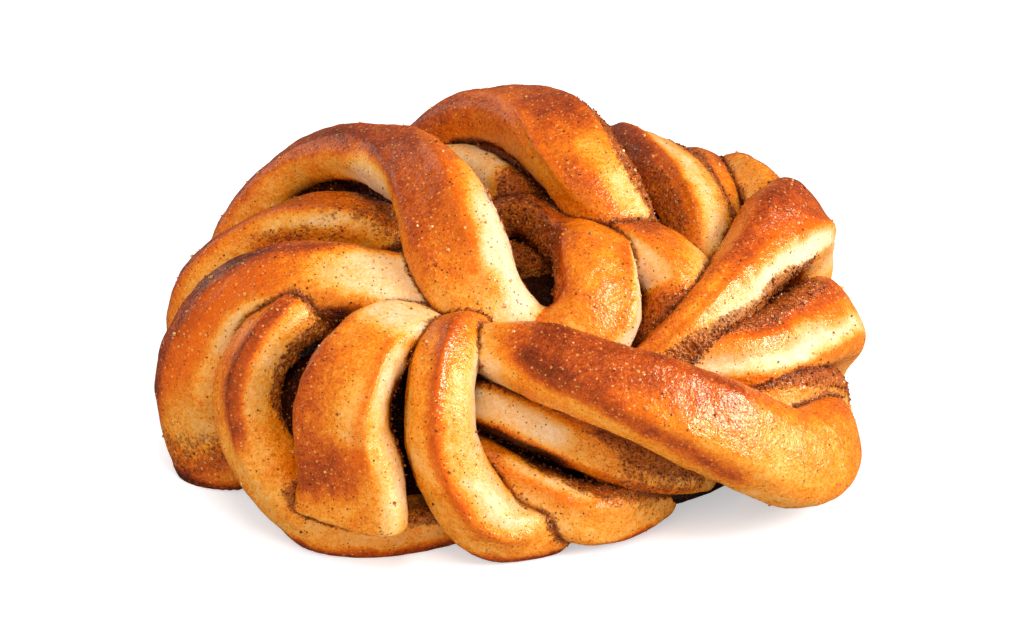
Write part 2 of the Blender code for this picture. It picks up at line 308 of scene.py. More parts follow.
left_upper = strand(
    widths=(12, 12, 11, 9), thicks=(9,),
    route=foot(-75)[:3] + [(-47.3, 11.5, 21.5), (-38, 14, 27.6), (-30, 12, 31), (-21, 9, 31),
                           (-14, 7, 26), (-9, 6, 20)],
    ridges=[(0.1, 15, (0.35, 112), (0.5, 112), (0.66, 118), (0.8, 124))],
    bake=[(0.14, (0.3, 60, 118), (0.5, 60, 114), (0.66, 74, 108)),
          (-0.3, (0.55, 126, 168), (0.66, 128, 168), (0.76, 130, 165)),
          (-0.12, (0.35, 126, 190), (0.52, 128, 190)),
          (0.16, (0.5, 170, 190), (0.75, 168, 188))],
    amber=[(0.4, (0.38, 104, 124), (0.62, 110, 126))],
    spice=[(0.4, (0.7, 60, 150), (0.95, 60, 160)),
           (0.36, (0.5, 158, 196), (0.75, 156, 196))])
left_outer = strand(
    widths=(10, 13, 14, 15, 15), thicks=(8, 9, 10, 11, 9), rolls=(0, 0, 0, -15, -35),
    route=[(-5, -13, 23), (-13, -12, 29.3), (-21, -11.5, 31.2), (-29, -10, 31.2), (-37, -9, 29.3),
           (-43.3, -9, 24.5), (-47, -11, 17), (-47, -12, 9), (-44, -14, 2)],
    ridges=[(0.1, 14, (0.35, 108), (0.45, 104), (0.55, 98), (0.66, 96), (0.8, 102)),
            (0.07, 16, (0.4, 56), (0.55, 56), (0.7, 58), (0.84, 62))],
    bake=[(-0.44, (0.0, 40, 130), (0.2, 48, 125), (0.3, 56, 118), (0.37, 64, 100)),
          (-0.15, (0.36, 60, 96), (0.47, 62, 92)),
          (0.14, (0.36, 106, 135), (0.5, 104, 135)),
          (0.26, (0.5, 98, 152), (0.6, 93, 152), (0.72, 93, 152), (0.84, 100, 152)),
          (0.04, (0.5, 60, 92), (0.76, 66, 102)),
          (-0.16, (0.5, 10, 56), (0.6, 10, 56), (0.7, 15, 58), (0.8, 20, 70)),
          (-0.04, (0.8, 30, 104), (0.92, 30, 114)),
          (0.3, (0.94, 0, 180), (1.0, 0, 180)),
          (0.1, (0.76, 108, 150), (0.92, 120, 150))],
    wrinkle=[(1.0, (0.48, 92, 155), (0.6, 84, 155), (0.78, 84, 155), (0.86, 96, 155))],
    amber=[(1.0, (0.46, 62, 92), (0.55, 60, 94), (0.66, 62, 96), (0.74, 66, 102), (0.8, 76, 108))],
    spice=[(0.5, (0.12, -20, 22), (0.3, -20, 20), (0.42, -20, 16)),
           (0.42, (0.87, 0, 180), (1.0, 0, 180))],
    # Painted shade: a dark hole in the fold at the strand's edge.
    deep=[(0.96, (0.27, -80, 34), (0.35, -80, 28))])
deep_left = strand(
    widths=(12,), thicks=(9,),
    route=[(-42, 2, 12), (-34, 2, 22), (-22, 1, 26), (-8, 2, 28), (4, 6, 26)],
    spice=[(0.8, (0.0, 0, 360), (1.0, 0, 360))],
    deep=[(0.97, (0.0, 0, 360), (0.86, 0, 360))])
strand_piece("strands_left", left_upper, left_outer, deep_left)


# ---------------------------------------------------------------------------------------
# Front left: a strand that turns down and runs along the floor, a broad flap whose cut
# end lies over it, and a deep strand in the dark gap between them, painted dark as the
# gap's shade.
# ---------------------------------------------------------------------------------------
front_left = strand(
    widths=(9, 10, 10, 9), thicks=(8, 9, 9, 8, 7), rolls=(0, 5, 10, 0, 0),
    route=[(-25, -10, 24), (-30.5, -13, 28), (-36, -18, 26), (-39, -22, 21), (-39, -25, 16),
           (-36, -28.5, 11), (-32.5, -31, 7), (-27.5, -34, 4), (-20, -35, 3), (-6, -31, 4)],
    ridges=[(0.13, 12, (0.12, 74), (0.2, 70), (0.3, 62), (0.4, 62), (0.5, 72)),
            (0.07, 14, (0.15, 8), (0.3, 2), (0.5, 0))],
    bake=[(0.36, (0.16, 34, 72), (0.25, 29, 74), (0.4, 31, 78), (0.46, 46, 84)),
          (-0.14, (0.08, 10, 60), (0.2, 12, 46)),
          (-0.12, (0.44, 50, 104), (0.6, 50, 104)),
          (-0.08, (0.44, 0, 50), (0.6, 10, 50)),
          (-0.2, (0.2, 0, 26), (0.42, 0, 26)),
          (-0.04, (0.62, 40, 90), (0.97, 50, 100))],
    amber=[(0.5, (0.2, 18, 58), (0.4, 10, 56)),
           (0.3, (0.64, 62, 92), (0.97, 66, 96))],
    spice=[(0.72, (0.06, -80, 2), (0.2, -70, -2), (0.3, -70, -12), (0.45, -70, -24)),
           (0.7, (0.6, -20, 50), (0.7, -10, 58), (0.97, -10, 60))])
front_flap = strand(
    widths=(9, 12, 14, 17.5), thicks=(8, 8, 9, 7), square=(3.0, 3.2, 3.6, 4.0),
    ends=(CAP_REACH, 0.2),
    route=[(-9, -17, 22), (-13, -20, 28), (-20, -28, 30), (-23.5, -34, 26), (-24.3, -36, 20),
           (-23.2, -37.3, 14), (-23.3, -38.6, 7.5)],
    ridges=[(0.1, 12, (0.42, 44), (0.5, 40), (0.62, 42), (0.74, 46), (0.84, 62)),
            (0.07, 14, (0.4, 122), (0.6, 122), (0.95, 122))],
    bake=[(-0.42, (0.0, 0, 150), (0.3, 20, 140), (0.39, 44, 108)),
          (-0.14, (0.42, 56, 110), (0.6, 56, 92), (0.72, 58, 80)),
          (0.14, (0.46, 112, 155), (0.56, 104, 155), (0.7, 84, 155), (0.86, 76, 155),
           (0.94, 84, 155)),
          (0.2, (0.75, 46, 84), (0.8, 50, 92), (0.87, 58, 96)),
          (-0.28, (0.4, -20, 36), (0.6, -20, 33), (0.8, -20, 38), (1.0, -20, 50)),
          (-0.06, (0.92, 40, 100), (1.0, 40, 100)),
          (0.16, (0.6, 2, 36), (0.9, 2, 36)),
          (0.14, (0.72, 84, 150), (0.93, 90, 150))],
    amber=[(0.9, (0.45, 44, 62), (0.6, 44, 64), (0.74, 46, 70), (0.84, 50, 84))],
    spice=[(0.5, (0.45, -70, -16), (0.95, -70, -14)),
           (0.3, (0.97, 30, 150), (1.0, 30, 150))],
    # Painted shade in the gap between the flap and the loop.
    deep=[(0.95, (0.46, -90, -4), (0.62, -90, -2), (0.84, -90, -16))])
deep_front = strand(
    widths=(10,), thicks=(9,),
    route=[(-14, -22, 14), (-22, -20, 18), (-30, -18, 17), (-33, -24, 9)],
    spice=[(0.8, (0.0, 0, 360), (1.0, 0, 360))],
    deep=[(0.97, (0.0, 0, 360), (1.0, 0, 360))])
strand_piece("strands_front_left", front_left, front_flap, deep_front)


# ---------------------------------------------------------------------------------------
# Front middle: a loop that comes straight down the front, and two narrow strands that
# run out from under it to the right, with the filling showing between them.
# ---------------------------------------------------------------------------------------
front_loop = strand(
    widths=(8, 9, 9.5, 11, 10), thicks=(8, 9, 9, 10, 8), rolls=(0, 35, 40, 35, 0),
    route=[(-3, -20, 24), (-6.7, -24, 29), (-9, -30, 29), (-10, -35, 24), (-9.2, -37, 17),
           (-6, -37.5, 10), (-1, -37.5, 5), (5.5, -35, 4)],
    ridges=[(0.13, 12, (0.22, 52), (0.4, 50), (0.6, 52), (0.75, 56), (0.9, 60)),
            (0.07, 14, (0.25, -4), (0.6, -4), (0.9, 10))],
    bake=[(0.2, (0.22, 36, 70), (0.4, 34, 68), (0.6, 36, 68), (0.75, 42, 72), (0.88, 48, 74)),
          (-0.16, (0.3, 0, 30), (0.62, 0, 30)),
          (-0.14, (0.24, 70, 110), (0.6, 72, 110)),
          (-0.3, (0.2, -60, -4), (0.6, -60, -8)),
          (-0.28, (0.62, -40, 18), (0.8, -30, 26), (1.0, -30, 36))],
    amber=[(1.0, (0.24, 40, 62), (0.4, 36, 60), (0.6, 36, 60), (0.75, 42, 64))],
    spice=[(0.35, (0.2, -80, -50), (0.6, -80, -50))])
below_bar = strand(
    widths=(7, 7.5, 7.5, 8), thicks=(8,),
    route=[(-10, -26, 21), (-5, -28, 21), (3, -30, 18.5), (13, -31.5, 14.2), (22, -29, 10),
           (28, -23, 7)],
    ridges=[(0.06, 14, (0.1, 118), (0.5, 118), (0.9, 112))],
    bake=[(-0.34, (0.0, 66, 116), (0.3, 66, 116), (0.46, 72, 116)),
          # Painted shade: the lower side, in the front bar's shadow, is browned darker.
          (0.25, (0.05, 128, 180), (0.9, 118, 180))],
    # The cinnamon along the top edge is partly real filling and partly painted shadow of the bar
    # above it.
    spice=[(0.5, (0.0, 20, 44), (0.46, 20, 50)),
           (0.72, (0.5, 30, 72), (0.62, 30, 84), (0.9, 30, 98)),
           (0.42, (0.6, 80, 140), (1.0, 80, 140))],
    # Painted shade in the dark under the front bar.
    deep=[(0.95, (0.0, 134, 230), (0.5, 138, 230))])
front_foot = strand(
    widths=(8, 8, 8.5, 9.5, 9), thicks=(8, 8, 7),
    route=[(-8, -29, 14), (-3, -32, 12), (4, -34.3, 9), (12, -35, 6), (17, -32, 5), (22, -27, 5)],
    ridges=[(0.1, 13, (0.2, 70), (0.5, 70), (0.8, 72))],
    bake=[(0.04, (0.2, 58, 84), (0.6, 58, 86)),
          (-0.28, (0.24, 22, 58), (0.62, 18, 56)),
          (-0.1, (0.15, 86, 130), (0.6, 88, 130))],
    amber=[(0.7, (0.2, 58, 84), (0.6, 58, 84))],
    spice=[(0.62, (0.3, -20, 20), (0.5, -20, 30), (0.64, -20, 40), (0.94, -20, 52)),
           (0.26, (0.62, 10, 50), (0.76, 10, 76), (1.0, 10, 110))])
strand_piece("strands_front_middle", front_loop, below_bar, front_foot)


# ---------------------------------------------------------------------------------------
# Front bar: the thickest strand, laid over the front from the middle to the right end,
# rounded, and the brownest of all because it lay highest in the oven's heat.
# ---------------------------------------------------------------------------------------
front_bar = strand(
    widths=(7, 12, 14, 15, 12), thicks=(8, 10, 12, 12, 10), square=(2.7,),
    route=[(-5, -22, 24), (-3, -26, 28), (4, -30, 29), (12, -34, 28), (21, -35, 25),
           (30, -34, 20.2), (38, -31, 14.4), (43.5, -27.2, 10.8), (48, -18.5, 9), (47.5, -9, 5)],
    ridges=[(0.08, 14, (0.1, 124), (0.3, 124), (0.42, 126), (0.55, 128), (0.66, 128)),
            (0.05, 14, (0.1, 62), (0.3, 62), (0.55, 62))],
    bake=[(0.2, (0.14, 20, 96), (0.3, 20, 98), (0.56, 30, 100)),
          (0.36, (0.13, 88, 114), (0.22, 98, 130), (0.3, 108, 144), (0.4, 124, 160),
           (0.5, 140, 168), (0.6, 150, 176)),
          (0.1, (0.24, 90, 112), (0.36, 94, 118)),
          (0.12, (0.12, 160, 190), (0.3, 164, 190)),
          (0.05, (0.64, 40, 150), (0.9, 40, 150)),
          (-0.26, (0.0, 0, 220), (0.15, 20, 220))],
    amber=[(0.45, (0.14, 112, 128), (0.3, 112, 128), (0.5, 112, 130), (0.64, 112, 130))])
strand_piece("strand_front_bar", front_bar)


# ---------------------------------------------------------------------------------------
# Middle: the high arch comes over from the back left and hooks round the open eye of the
# knot. Both legs of the hook were pressed together and baked into one, so they are made
# as one skin with a soft joint at the bottom of the eye.
# ---------------------------------------------------------------------------------------
EYE_FOOT = np.array([6.0, -18.0, 28.0])     # where the two legs have grown together
EYE_FOOT_REACH = (7.0, 13.0)                # the joint is soft inside the first distance
SKIN_CELL = 0.4                             # size of the cells of the one skin
SKIN_ROUNDS = 5                             # of smoothing all over
JOINT_ROUNDS = 45                           # of smoothing at the joint
SMOOTHING = 0.5                             # the strength of each round
JOINT_EDGE = 0.02                           # below this weight a point is left alone
JOINT_GRADE = 0.1                           # weights are kept in steps of this


def read(items, key, width=1, kind=float):
    """A number, or a vector of some width, for each of a mesh's items."""
    values = np.zeros(len(items) * width, kind)
    items.foreach_get(key, values)
    return values if width == 1 else values.reshape(-1, width)


def plain_points(piece):
    """A piece's points in millimetres, about the knot's own middle again."""
    return read(piece.data.vertices, "co", 3) / MM - CENTRING


def fused_piece(name, *strands):
    """Strands that have grown together, made as one closed skin."""
    piece = dough_object(name, [(s["points"], s["faces"]) for s in strands])
    bpy.context.view_layer.objects.active = piece
    skin = piece.modifiers.new("skin", "REMESH")
    skin.mode = "VOXEL"
    skin.voxel_size = SKIN_CELL * MM
    bpy.ops.object.modifier_apply(modifier=skin.name)
    distance = np.linalg.norm(plain_points(piece) - EYE_FOOT, axis=1)
    weight = 1 - smoothly(*EYE_FOOT_REACH, distance)
    joint = piece.vertex_groups.new(name="joint")
    for value in np.unique(np.round(weight[weight > JOINT_EDGE], 1)):
        picked = np.nonzero(np.abs(weight - value) < JOINT_GRADE / 2)[0]
        joint.add(picked.tolist(), float(value), "REPLACE")
    for group, rounds in (("", SKIN_ROUNDS), ("joint", JOINT_ROUNDS)):
        smooth = piece.modifiers.new("smooth", "SMOOTH")
        smooth.factor = SMOOTHING
        smooth.iterations = rounds
        smooth.vertex_group = group
        bpy.ops.object.modifier_apply(modifier=smooth.name)
    piece.vertex_groups.clear()
    piece.data.shade_smooth()
    for s in strands:
        s["fuse"] = name
    lay_down(piece, strands)


high_arch = strand(
    widths=(12, 11, 10, 9.5, 12, 15.5, 11), thicks=(9, 8, 7, 10.5, 9), rolls=(0, 0, 12, 25, 0),
    route=foot(-58) + [(-35.5, 27, 33), (-27.5, 22, 39.2), (-17.5, 12, 42.2), (-10.5, -2, 41.5),
                       (-7.5, -11, 37), (-3, -17, 31), (3, -19, 26)],
    ridges=[(0.12, 12, (0.4, 108), (0.55, 94), (0.62, 102), (0.68, 116), (0.78, 120), (0.88, 118)),
            (0.13, 12, (0.64, 52), (0.72, 60), (0.78, 66), (0.86, 78), (0.92, 84))],
    bake=[(0.16, (0.3, 50, 112), (0.5, 50, 108), (0.58, 54, 96)),
          (-0.04, (0.36, 126, 190), (0.54, 126, 190)),
          (-0.34, (0.55, 124, 200), (0.62, 120, 200), (0.7, 128, 200)),
          (0.22, (0.54, 90, 98), (0.6, 98, 108), (0.66, 112, 121), (0.76, 116, 124),
           (0.85, 114, 120)),
          (0.1, (0.58, 66, 98), (0.66, 66, 112), (0.74, 74, 116), (0.8, 82, 112)),
          (0.1, (0.3, 112, 150), (0.55, 104, 150)),
          (-0.46, (0.77, -20, 44), (0.81, -20, 55), (0.86, -20, 69), (0.92, -20, 80),
           (1.0, -20, 90)),
          (0.03, (0.82, 90, 140), (0.95, 94, 140)),
          (-0.22, (0.92, 80, 150), (1.0, 80, 160))],
    amber=[(1.0, (0.69, 52, 66), (0.78, 58, 76), (0.86, 71, 88), (0.9, 77, 92))],
    spice=[(0.62, (0.64, -70, -8), (0.8, -70, 2), (0.97, -70, 0))])
pit_wall = strand(
    widths=(8, 9, 12, 13, 12), thicks=(7, 7, 9, 10, 9),
    route=[(-4, 10, 31), (3, 9, 34), (9, 3, 32.8), (13, -4, 34), (13.3, -10, 34.5),
           (13.5, -16, 30.5), (9, -20, 26), (2, -19, 24)],
    ridges=[(0.13, 12, (0.4, 60), (0.55, 60), (0.7, 58), (0.9, 62)),
            (0.1, 12, (0.25, 150), (0.4, 156), (0.6, 158), (0.75, 162), (0.9, 172))],
    spice=[(0.66, (0.0, 110, 270), (0.25, 136, 270), (0.4, 176, 270), (0.7, 180, 270),
            (0.92, 192, 270)),
           (0.5, (0.0, 60, 140), (0.22, 80, 140))],
    bake=[(0.1, (0.0, 40, 150), (0.26, 60, 150)),
          (0.14, (0.34, 150, 190), (0.6, 156, 190), (0.8, 162, 195)),
          (-0.08, (0.4, 66, 150), (0.7, 66, 156), (0.9, 80, 165)),
          (-0.4, (0.46, -20, 52), (0.7, -20, 54), (0.95, -20, 64)),
          (0.1, (0.62, 60, 110), (0.78, 64, 110)),
          (0.25, (0.585, 62, 74), (0.625, 62, 74))],
    amber=[(0.85, (0.42, 54, 72), (0.56, 54, 74), (0.64, 58, 74))])
fused_piece("strands_eye", high_arch, pit_wall)

# A short twist right of the eye, and a strand deep in the dark behind it, painted dark as that
# shade.
centre_twist = strand(
    widths=(9, 12, 13, 12), thicks=(8, 9, 10, 9),
    route=[(13, 5, 28), (17, 1, 32.5), (22, -3, 33), (26, -6, 30), (26, -10, 25), (22, -14, 20)],
    ridges=[(0.12, 12, (0.15, 118), (0.35, 132), (0.6, 146))],
    bake=[(0.14, (0.08, 64, 122), (0.4, 74, 126)),
          (-0.3, (0.25, 150, 225), (0.6, 154, 225)),
          (-0.22, (0.5, 40, 104), (1.0, 40, 106)),
          (0.1, (0.66, 120, 240), (1.0, 120, 240))],
    amber=[(0.5, (0.3, 112, 136), (0.55, 122, 148))],
    spice=[(0.4, (0.66, 120, 240), (1.0, 120, 240)),
           (0.3, (0.1, 70, 110), (0.45, 80, 120))])
deep_middle = strand(
    widths=(12,), thicks=(9,),
    route=[(-24, 24, 22), (-16, 12, 28), (-8, 0, 29), (-2, -10, 27)],
    spice=[(0.9, (0.0, 0, 360), (1.0, 0, 360))],
    deep=[(0.97, (0.0, 0, 360), (0.55, 0, 360))])
strand_piece("strands_centre", centre_twist, deep_middle)


# ---------------------------------------------------------------------------------------
# Crown: the highest arch, which comes over from the back to the middle, a small arch
# under it, and the strands behind that climb from under the knot and lean towards them.
# ---------------------------------------------------------------------------------------
BACK_RIDGE = [(0.06, 17, (0.25, 80), (0.9, 84))]


def back_strand(angle, widths, over, tone, **more):
    """A strand that climbs the back from its foot: brown on top, filling along one side."""
    return strand(
        widths=widths, thicks=(9, 9, 8), route=foot(angle) + over, ridges=BACK_RIDGE,
        bake=[(tone, (0.34, 40, 112), (0.8, 40, 112)), (-0.22, (0.25, -40, 36), (0.9, -40, 36))],
        amber=[(0.5, (0.36, 74, 96), (0.75, 74, 96))],
        spice=[(0.6, (0.3, 140, 215), (0.95, 140, 215))], **more)


crown_arch = strand(
    widths=(13, 12, 12, 14, 10), thicks=(9, 8, 9, 10, 9), rolls=(0, 0, 10, 20, 0),
    route=foot(-29) + [(-13.7, 37.7, 32.6), (-8.7, 34.7, 37.7), (-3, 31, 41.6), (3, 24, 44),
                       (8.2, 15, 44), (12, 8, 41.8), (17, 3, 36), (20, -2, 27)],
    ridges=[(0.13, 12, (0.5, 98), (0.6, 108), (0.7, 122), (0.78, 148), (0.84, 158)),
            (0.1, 12, (0.66, 54), (0.76, 64), (0.84, 76), (0.94, 86))],
    bake=[(0.1, (0.4, 30, 104), (0.6, 30, 110), (0.68, 40, 114), (0.75, 60, 110)),
          (0.16, (0.4, 116, 200), (0.62, 124, 200), (0.7, 136, 200)),
          (0.05, (0.68, 66, 118), (0.76, 80, 142), (0.84, 92, 150)),
          (0.06, (0.82, 104, 190), (1.0, 98, 190)),
          (-0.25, (0.78, 68, 88), (0.86, 72, 98), (0.92, 74, 104), (1.0, 70, 110))],
    amber=[(0.9, (0.58, 100, 114), (0.7, 114, 130), (0.78, 140, 156), (0.83, 150, 164))],
    spice=[(0.74, (0.64, -20, 38), (0.76, -20, 52), (0.85, 0, 72), (0.97, 0, 82))])
inner_arch = strand(
    widths=(10,), thicks=(8,),
    route=[(-16, 30, 28), (-9, 26, 34), (-2, 20, 35), (4, 12, 33), (8, 6, 28)],
    bake=[(-0.4, (0.0, 60, 200), (0.6, 80, 190))],
    spice=[(0.66, (0.6, 40, 150), (0.7, 20, 230), (1.0, 0, 250))])
# The back left strand's upper end is painted dark as the shade of the gap in front of it.
back_left = back_strand(-43, (13, 13, 12, 10), [(-28, 29, 30), (-20, 20, 31), (-13, 10, 28)],
                        tone=0.16, deep=[(0.97, (0.62, 0, 360), (1.0, 0, 360))])
back_middle = back_strand(-14, (13, 13, 12, 10), [(-6, 38, 33), (0, 28, 36), (7, 17, 34)],
                          tone=0.22)
strand_piece("strands_crown", crown_arch, inner_arch, back_left, back_middle)


# ---------------------------------------------------------------------------------------
# Back right: four strands side by side, from the back to the right-hand corner. The
# filling has run out along their edges and baked to a ragged crumb.
# ---------------------------------------------------------------------------------------
back_right = strand(
    widths=(12, 13, 13, 10), thicks=(9, 9, 10, 9), rolls=(0, 0, 12, 0),
    route=foot(18) + [(19, 37, 31.3), (23, 28, 34.3), (27.5, 19, 34.3), (30.5, 10, 31),
                      (30, 2, 25)],
    ridges=[(0.14, 11, (0.45, 106), (0.6, 114), (0.7, 124), (0.8, 140), (0.88, 148))],
    bake=[(0.14, (0.3, 50, 112), (0.55, 92, 112)),
          (0.22, (0.35, 114, 205), (0.6, 118, 205), (0.74, 132, 210)),
          (-0.36, (0.58, 88, 110), (0.7, 88, 120), (0.82, 88, 132), (0.95, 88, 140))],
    amber=[(0.9, (0.5, 106, 120), (0.62, 112, 126), (0.72, 122, 136), (0.8, 134, 146))],
    spice=[(0.72, (0.5, 20, 78), (0.7, 20, 84), (0.92, 20, 84)),
           (0.55, (0.5, 156, 210), (0.7, 164, 210), (0.93, 172, 215))])
back_corner = strand(
    widths=(12, 12, 13, 10), thicks=(9, 9, 8),
    route=foot(44)[:3] + [(37.3, 34.3, 21.5), (38.2, 31.7, 27.3), (41, 25, 29.5), (42.5, 17, 28.5),
                          (38, 9, 24)],
    ridges=BACK_RIDGE,
    bake=[(0.16, (0.3, 40, 130), (0.6, 60, 140)),
          (-0.16, (0.55, 150, 205), (1.0, 110, 205))],
    spice=[(0.4, (0.4, 190, 230), (0.95, 190, 230))])
back_centre = back_strand(3, (12, 13, 12, 10), [(9, 38, 32), (15, 28, 34), (19, 16, 31)],
                          tone=0.18)
back_inner = back_strand(31, (12, 12, 11, 10), [(31, 33, 29.3), (33.5, 24, 30.5), (35, 13, 27)],
                         tone=0.2)
strand_piece("strands_back", back_right, back_corner, back_centre, back_inner)


# ---------------------------------------------------------------------------------------
# Right side: three strands that fan out from under the front bar, with sharp ridges and
# a thick, wet smear of filling in the folds between them.
# ---------------------------------------------------------------------------------------
right_fan = strand(
    widths=(7, 10, 14, 17, 14), thicks=(7, 9, 10, 11, 9),
    route=[(18, -21, 20), (25, -18, 24.5), (32, -11, 28.5), (39, 1, 31), (44.8, 12, 31.5),
           (45.5, 20, 24.5), (44, 22, 13), (40, 20, 3.5), (31, 15, 2)],
    ridges=[(0.14, 11, (0.05, 76), (0.2, 81), (0.3, 87), (0.4, 96), (0.5, 112), (0.58, 120)),
            (0.08, 12, (0.08, 100), (0.17, 110), (0.3, 130), (0.42, 152))],
    bake=[(0.22, (0.28, 30, 84), (0.4, 30, 92), (0.5, 30, 108), (0.6, 46, 114)),
          (-0.06, (0.05, 40, 78), (0.22, 40, 84)),
          (-0.5, (0.14, 86, 100), (0.22, 90, 114), (0.3, 96, 126), (0.4, 108, 142),
           (0.5, 124, 160)),
          (-0.14, (0.5, 124, 200), (0.66, 124, 200))],
    amber=[(1.0, (0.1, 72, 84), (0.2, 75, 87), (0.3, 80, 94), (0.4, 88, 103), (0.5, 104, 120))],
    spice=[(0.9, (0.05, 78, 150), (0.1, 84, 160), (0.15, 93, 180), (0.22, 108, 200),
            (0.32, 126, 210), (0.45, 146, 220))])
right_middle = strand(
    widths=(7, 11, 13, 14, 12), thicks=(7, 9, 10, 10, 8),
    route=[(20, -19, 19), (27, -18, 22), (36, -16, 22), (44, -8, 21.3), (49.5, 1.5, 19.3),
           (49, 9, 11), (47, 12, 2)],
    ridges=[(0.13, 11, (0.1, 84), (0.3, 84), (0.5, 88), (0.62, 90)),
            (0.07, 12, (0.1, 120), (0.4, 120), (0.65, 120))],
    bake=[(0.2, (0.3, 44, 84), (0.64, 50, 92)),
          (-0.44, (0.12, 90, 120), (0.4, 90, 121), (0.66, 94, 121)),
          (0.08, (0.2, 122, 160), (0.62, 122, 160))],
    amber=[(0.95, (0.15, 76, 92), (0.35, 77, 94), (0.6, 80, 98)),
           (0.5, (0.2, 122, 150), (0.62, 122, 150))],
    spice=[(0.8, (0.1, -30, 60), (0.35, -30, 64), (0.5, -30, 66), (0.6, -30, 60))])
right_low = strand(
    widths=(8, 10, 10, 10), thicks=(8, 9, 8),
    route=[(30, -20, 15), (37, -18, 16.5), (43.5, -15, 15), (48, -9, 11), (50, -3, 4)],
    spice=[(0.62, (0.1, 20, 84), (0.9, 20, 84))],
    bake=[(0.1, (0.1, 20, 84), (0.9, 20, 84)),
          (-0.1, (0.3, 92, 150), (0.9, 92, 150))])
strand_piece("strands_right", right_fan, right_middle, right_low)


# ---------------------------------------------------------------------------------------
# The oven: what lies open and faces up browns, folds stay pale, and the filling shows
# where strands part. Shade is painted too: folds, narrow gaps and the hidden strands are
# darkened as if unlit. Each piece gets its browning, its smears, its painted shade and its
# fine lumps here, once all of them lie together.
# ---------------------------------------------------------------------------------------
OVEN_RAYS = 20
OVEN_REACH = 22.0       # a strand further off than this takes no heat away
RAY_START = 0.4         # off the skin
RAY_LEAN = 1.25         # how far the rays lean to the way the skin faces
RAY_CLOSE = 4.0         # once a strand is this near, no nearer one is looked for
TOUCH_REACH = 3.0       # the widest gap that is measured
SEARCH_STEP = 3         # every third ring and side is enough for a strand in the way
OPEN_STEPS = (4, 6)     # rings and sides between the places where openness is measured,
GAP_STEPS = (2, 2)      # and the gaps
HEAT_SIDE = np.array([-0.34, 0.26, 0.90])   # where the oven's heat came from
HEAT_TURN = (-0.35, 0.95)   # from a skin turned away from the heat to one turned to it
HEAT_OPENNESS = (0.1, 0.6)  # from a fold that no heat reaches to an open place

# Browning runs from 0, raw, to 1, burnt.
RAW_TONE = 0.34
HEAT_TONE = 0.20            # added by full heat
TOP_TONE = 0.04             # added at the top of the knot
TOP_Z = 45.0
HEART_TONE = 0.6            # the hidden middle, browned by its filling, and painted in full shade as well
TRAY_TONE = 0.5             # added where the foot stood on the hot tray
TRAY_Z = (0.3, 2.6)
TRAY_WAVES = 0.5            # how far the fine lumps move its edge up and down
BROAD_TONE = 0.05           # blotches over the broad lumps of the dough
FINE_TONE = 0.03            # and over the fine ones
UNDER_TONE = 0.62           # the flat underside, even all over
UNDER_TURN = (0.2, 0.9)
UNDER_Z = (0.5, 2.0)
UNDER_WIPED = 0.7           # share of the filling that the tray has wiped off there

SHADE_OPENNESS = (0.04, 0.40)    # painted shade: a fold is fully darkened below the first, not at all above the second
SHADE_GAP = (-0.1, 0.7)          # and so is the narrowest part of a gap, though less
SMEAR_GAP = (0.1, 1.0)          # the filling is thick within the first distance of a gap,
DUST_GAP = (0.4, 2.8)           # and its dust reaches further
GAP_SHADE = 0.62                 # how much painted shade the walls of a gap get, next to a fold
FOLD_SPICE = 0.3                # the filling's share in a shaded fold,
GAP_SPICE = 0.5                 # in a gap,
DUST_SPICE = 0.16               # in the dust round it
HEART_SPICE = 0.6               # and all over the hidden middle
SMEAR_LEVEL, SMEAR_WAVES = 0.75, 0.5    # of the thick filling, and its change over the lumps
DUST_WAVES = 0.6                # the same change in the dust
# Marks of the last kind paint shade into holes, gaps and hidden strands, as dark as the deepest
# folds.
MARK_SOFTNESS = {"bake": 16.0, "amber": 16.0, "wrinkle": 16.0, "spice": 9.0, "deep": 9.0}
MARK_ENDS = (0.05, 0.05)        # share of the length outside and inside which a mark fades
EDGE_WAVES = (6.0, 1.6)         # lengths of the waves in a mark's edges,
EDGE_SWAY = (4.0, 2.0)          # how far each moves them round the strand, in degrees,
EDGE_DRIFT = 0.015              # and the first along it, as a share of its length

BROAD, FINE, PORE = 9.0, 2.6, 1.3               # sizes of the lumps in the dough
BROAD_RISE, FINE_RISE, PORE_RISE = 0.26, 0.10, 0.045
WRINKLE = (7.0, 0.75)           # length and breadth of the wrinkles in stretched skin
WRINKLE_RISE = 0.30             # from a crease to the skin between two,
WRINKLE_TOP = 0.6               # which is flat from this share of the rise up,
WRINKLE_SINK = 0.12             # and how far the creases lie under the plain skin
GRIT_SPICE = (0.35, 0.75)       # from a smooth skin to one rough with filling
GRIT_PATCH = (0.3, 1.8)         # how uneven the grit is, and over what length
COARSE_GRIT = (0.16, 1.0)       # height and size of its lumps
FINE_GRIT = (0.10, 0.7)
GRIT_LAYER = 0.06               # thickness of the filling they lie in
FLAT_FOOT = (0.2, 1.5)          # the foot is flat below the first height
WRINKLES_APART = 3.7            # from one strand's wrinkles to the next one's
STREAKS_APART = 17.0            # and from streak to streak
FACTS = ("share", "angle", "along", "around", "open", "gap")


def search_tree(shape):
    """A strand's skin, plain enough to be searched fast."""
    grid = shape["grid"][::SEARCH_STEP, ::SEARCH_STEP]
    return BVHTree.FromPolygons(grid.reshape(-1, 3).tolist(), tube_quads(*grid.shape[:2]))


def grid_outward(grid):
    """Outward directions on a strand's grid of points."""
    outward = np.cross(np.roll(grid, -1, axis=1) - np.roll(grid, 1, axis=1),
                       np.gradient(grid, axis=0))
    return outward / np.maximum(np.linalg.norm(outward, axis=2), 1e-9)[:, :, None]


def near_boxes(first, second, reach=0.0):
    """Whether two strands come near enough to matter to each other."""
    return (np.all(lows[first] - reach < highs[second])
            and np.all(highs[first] + reach > lows[second]))


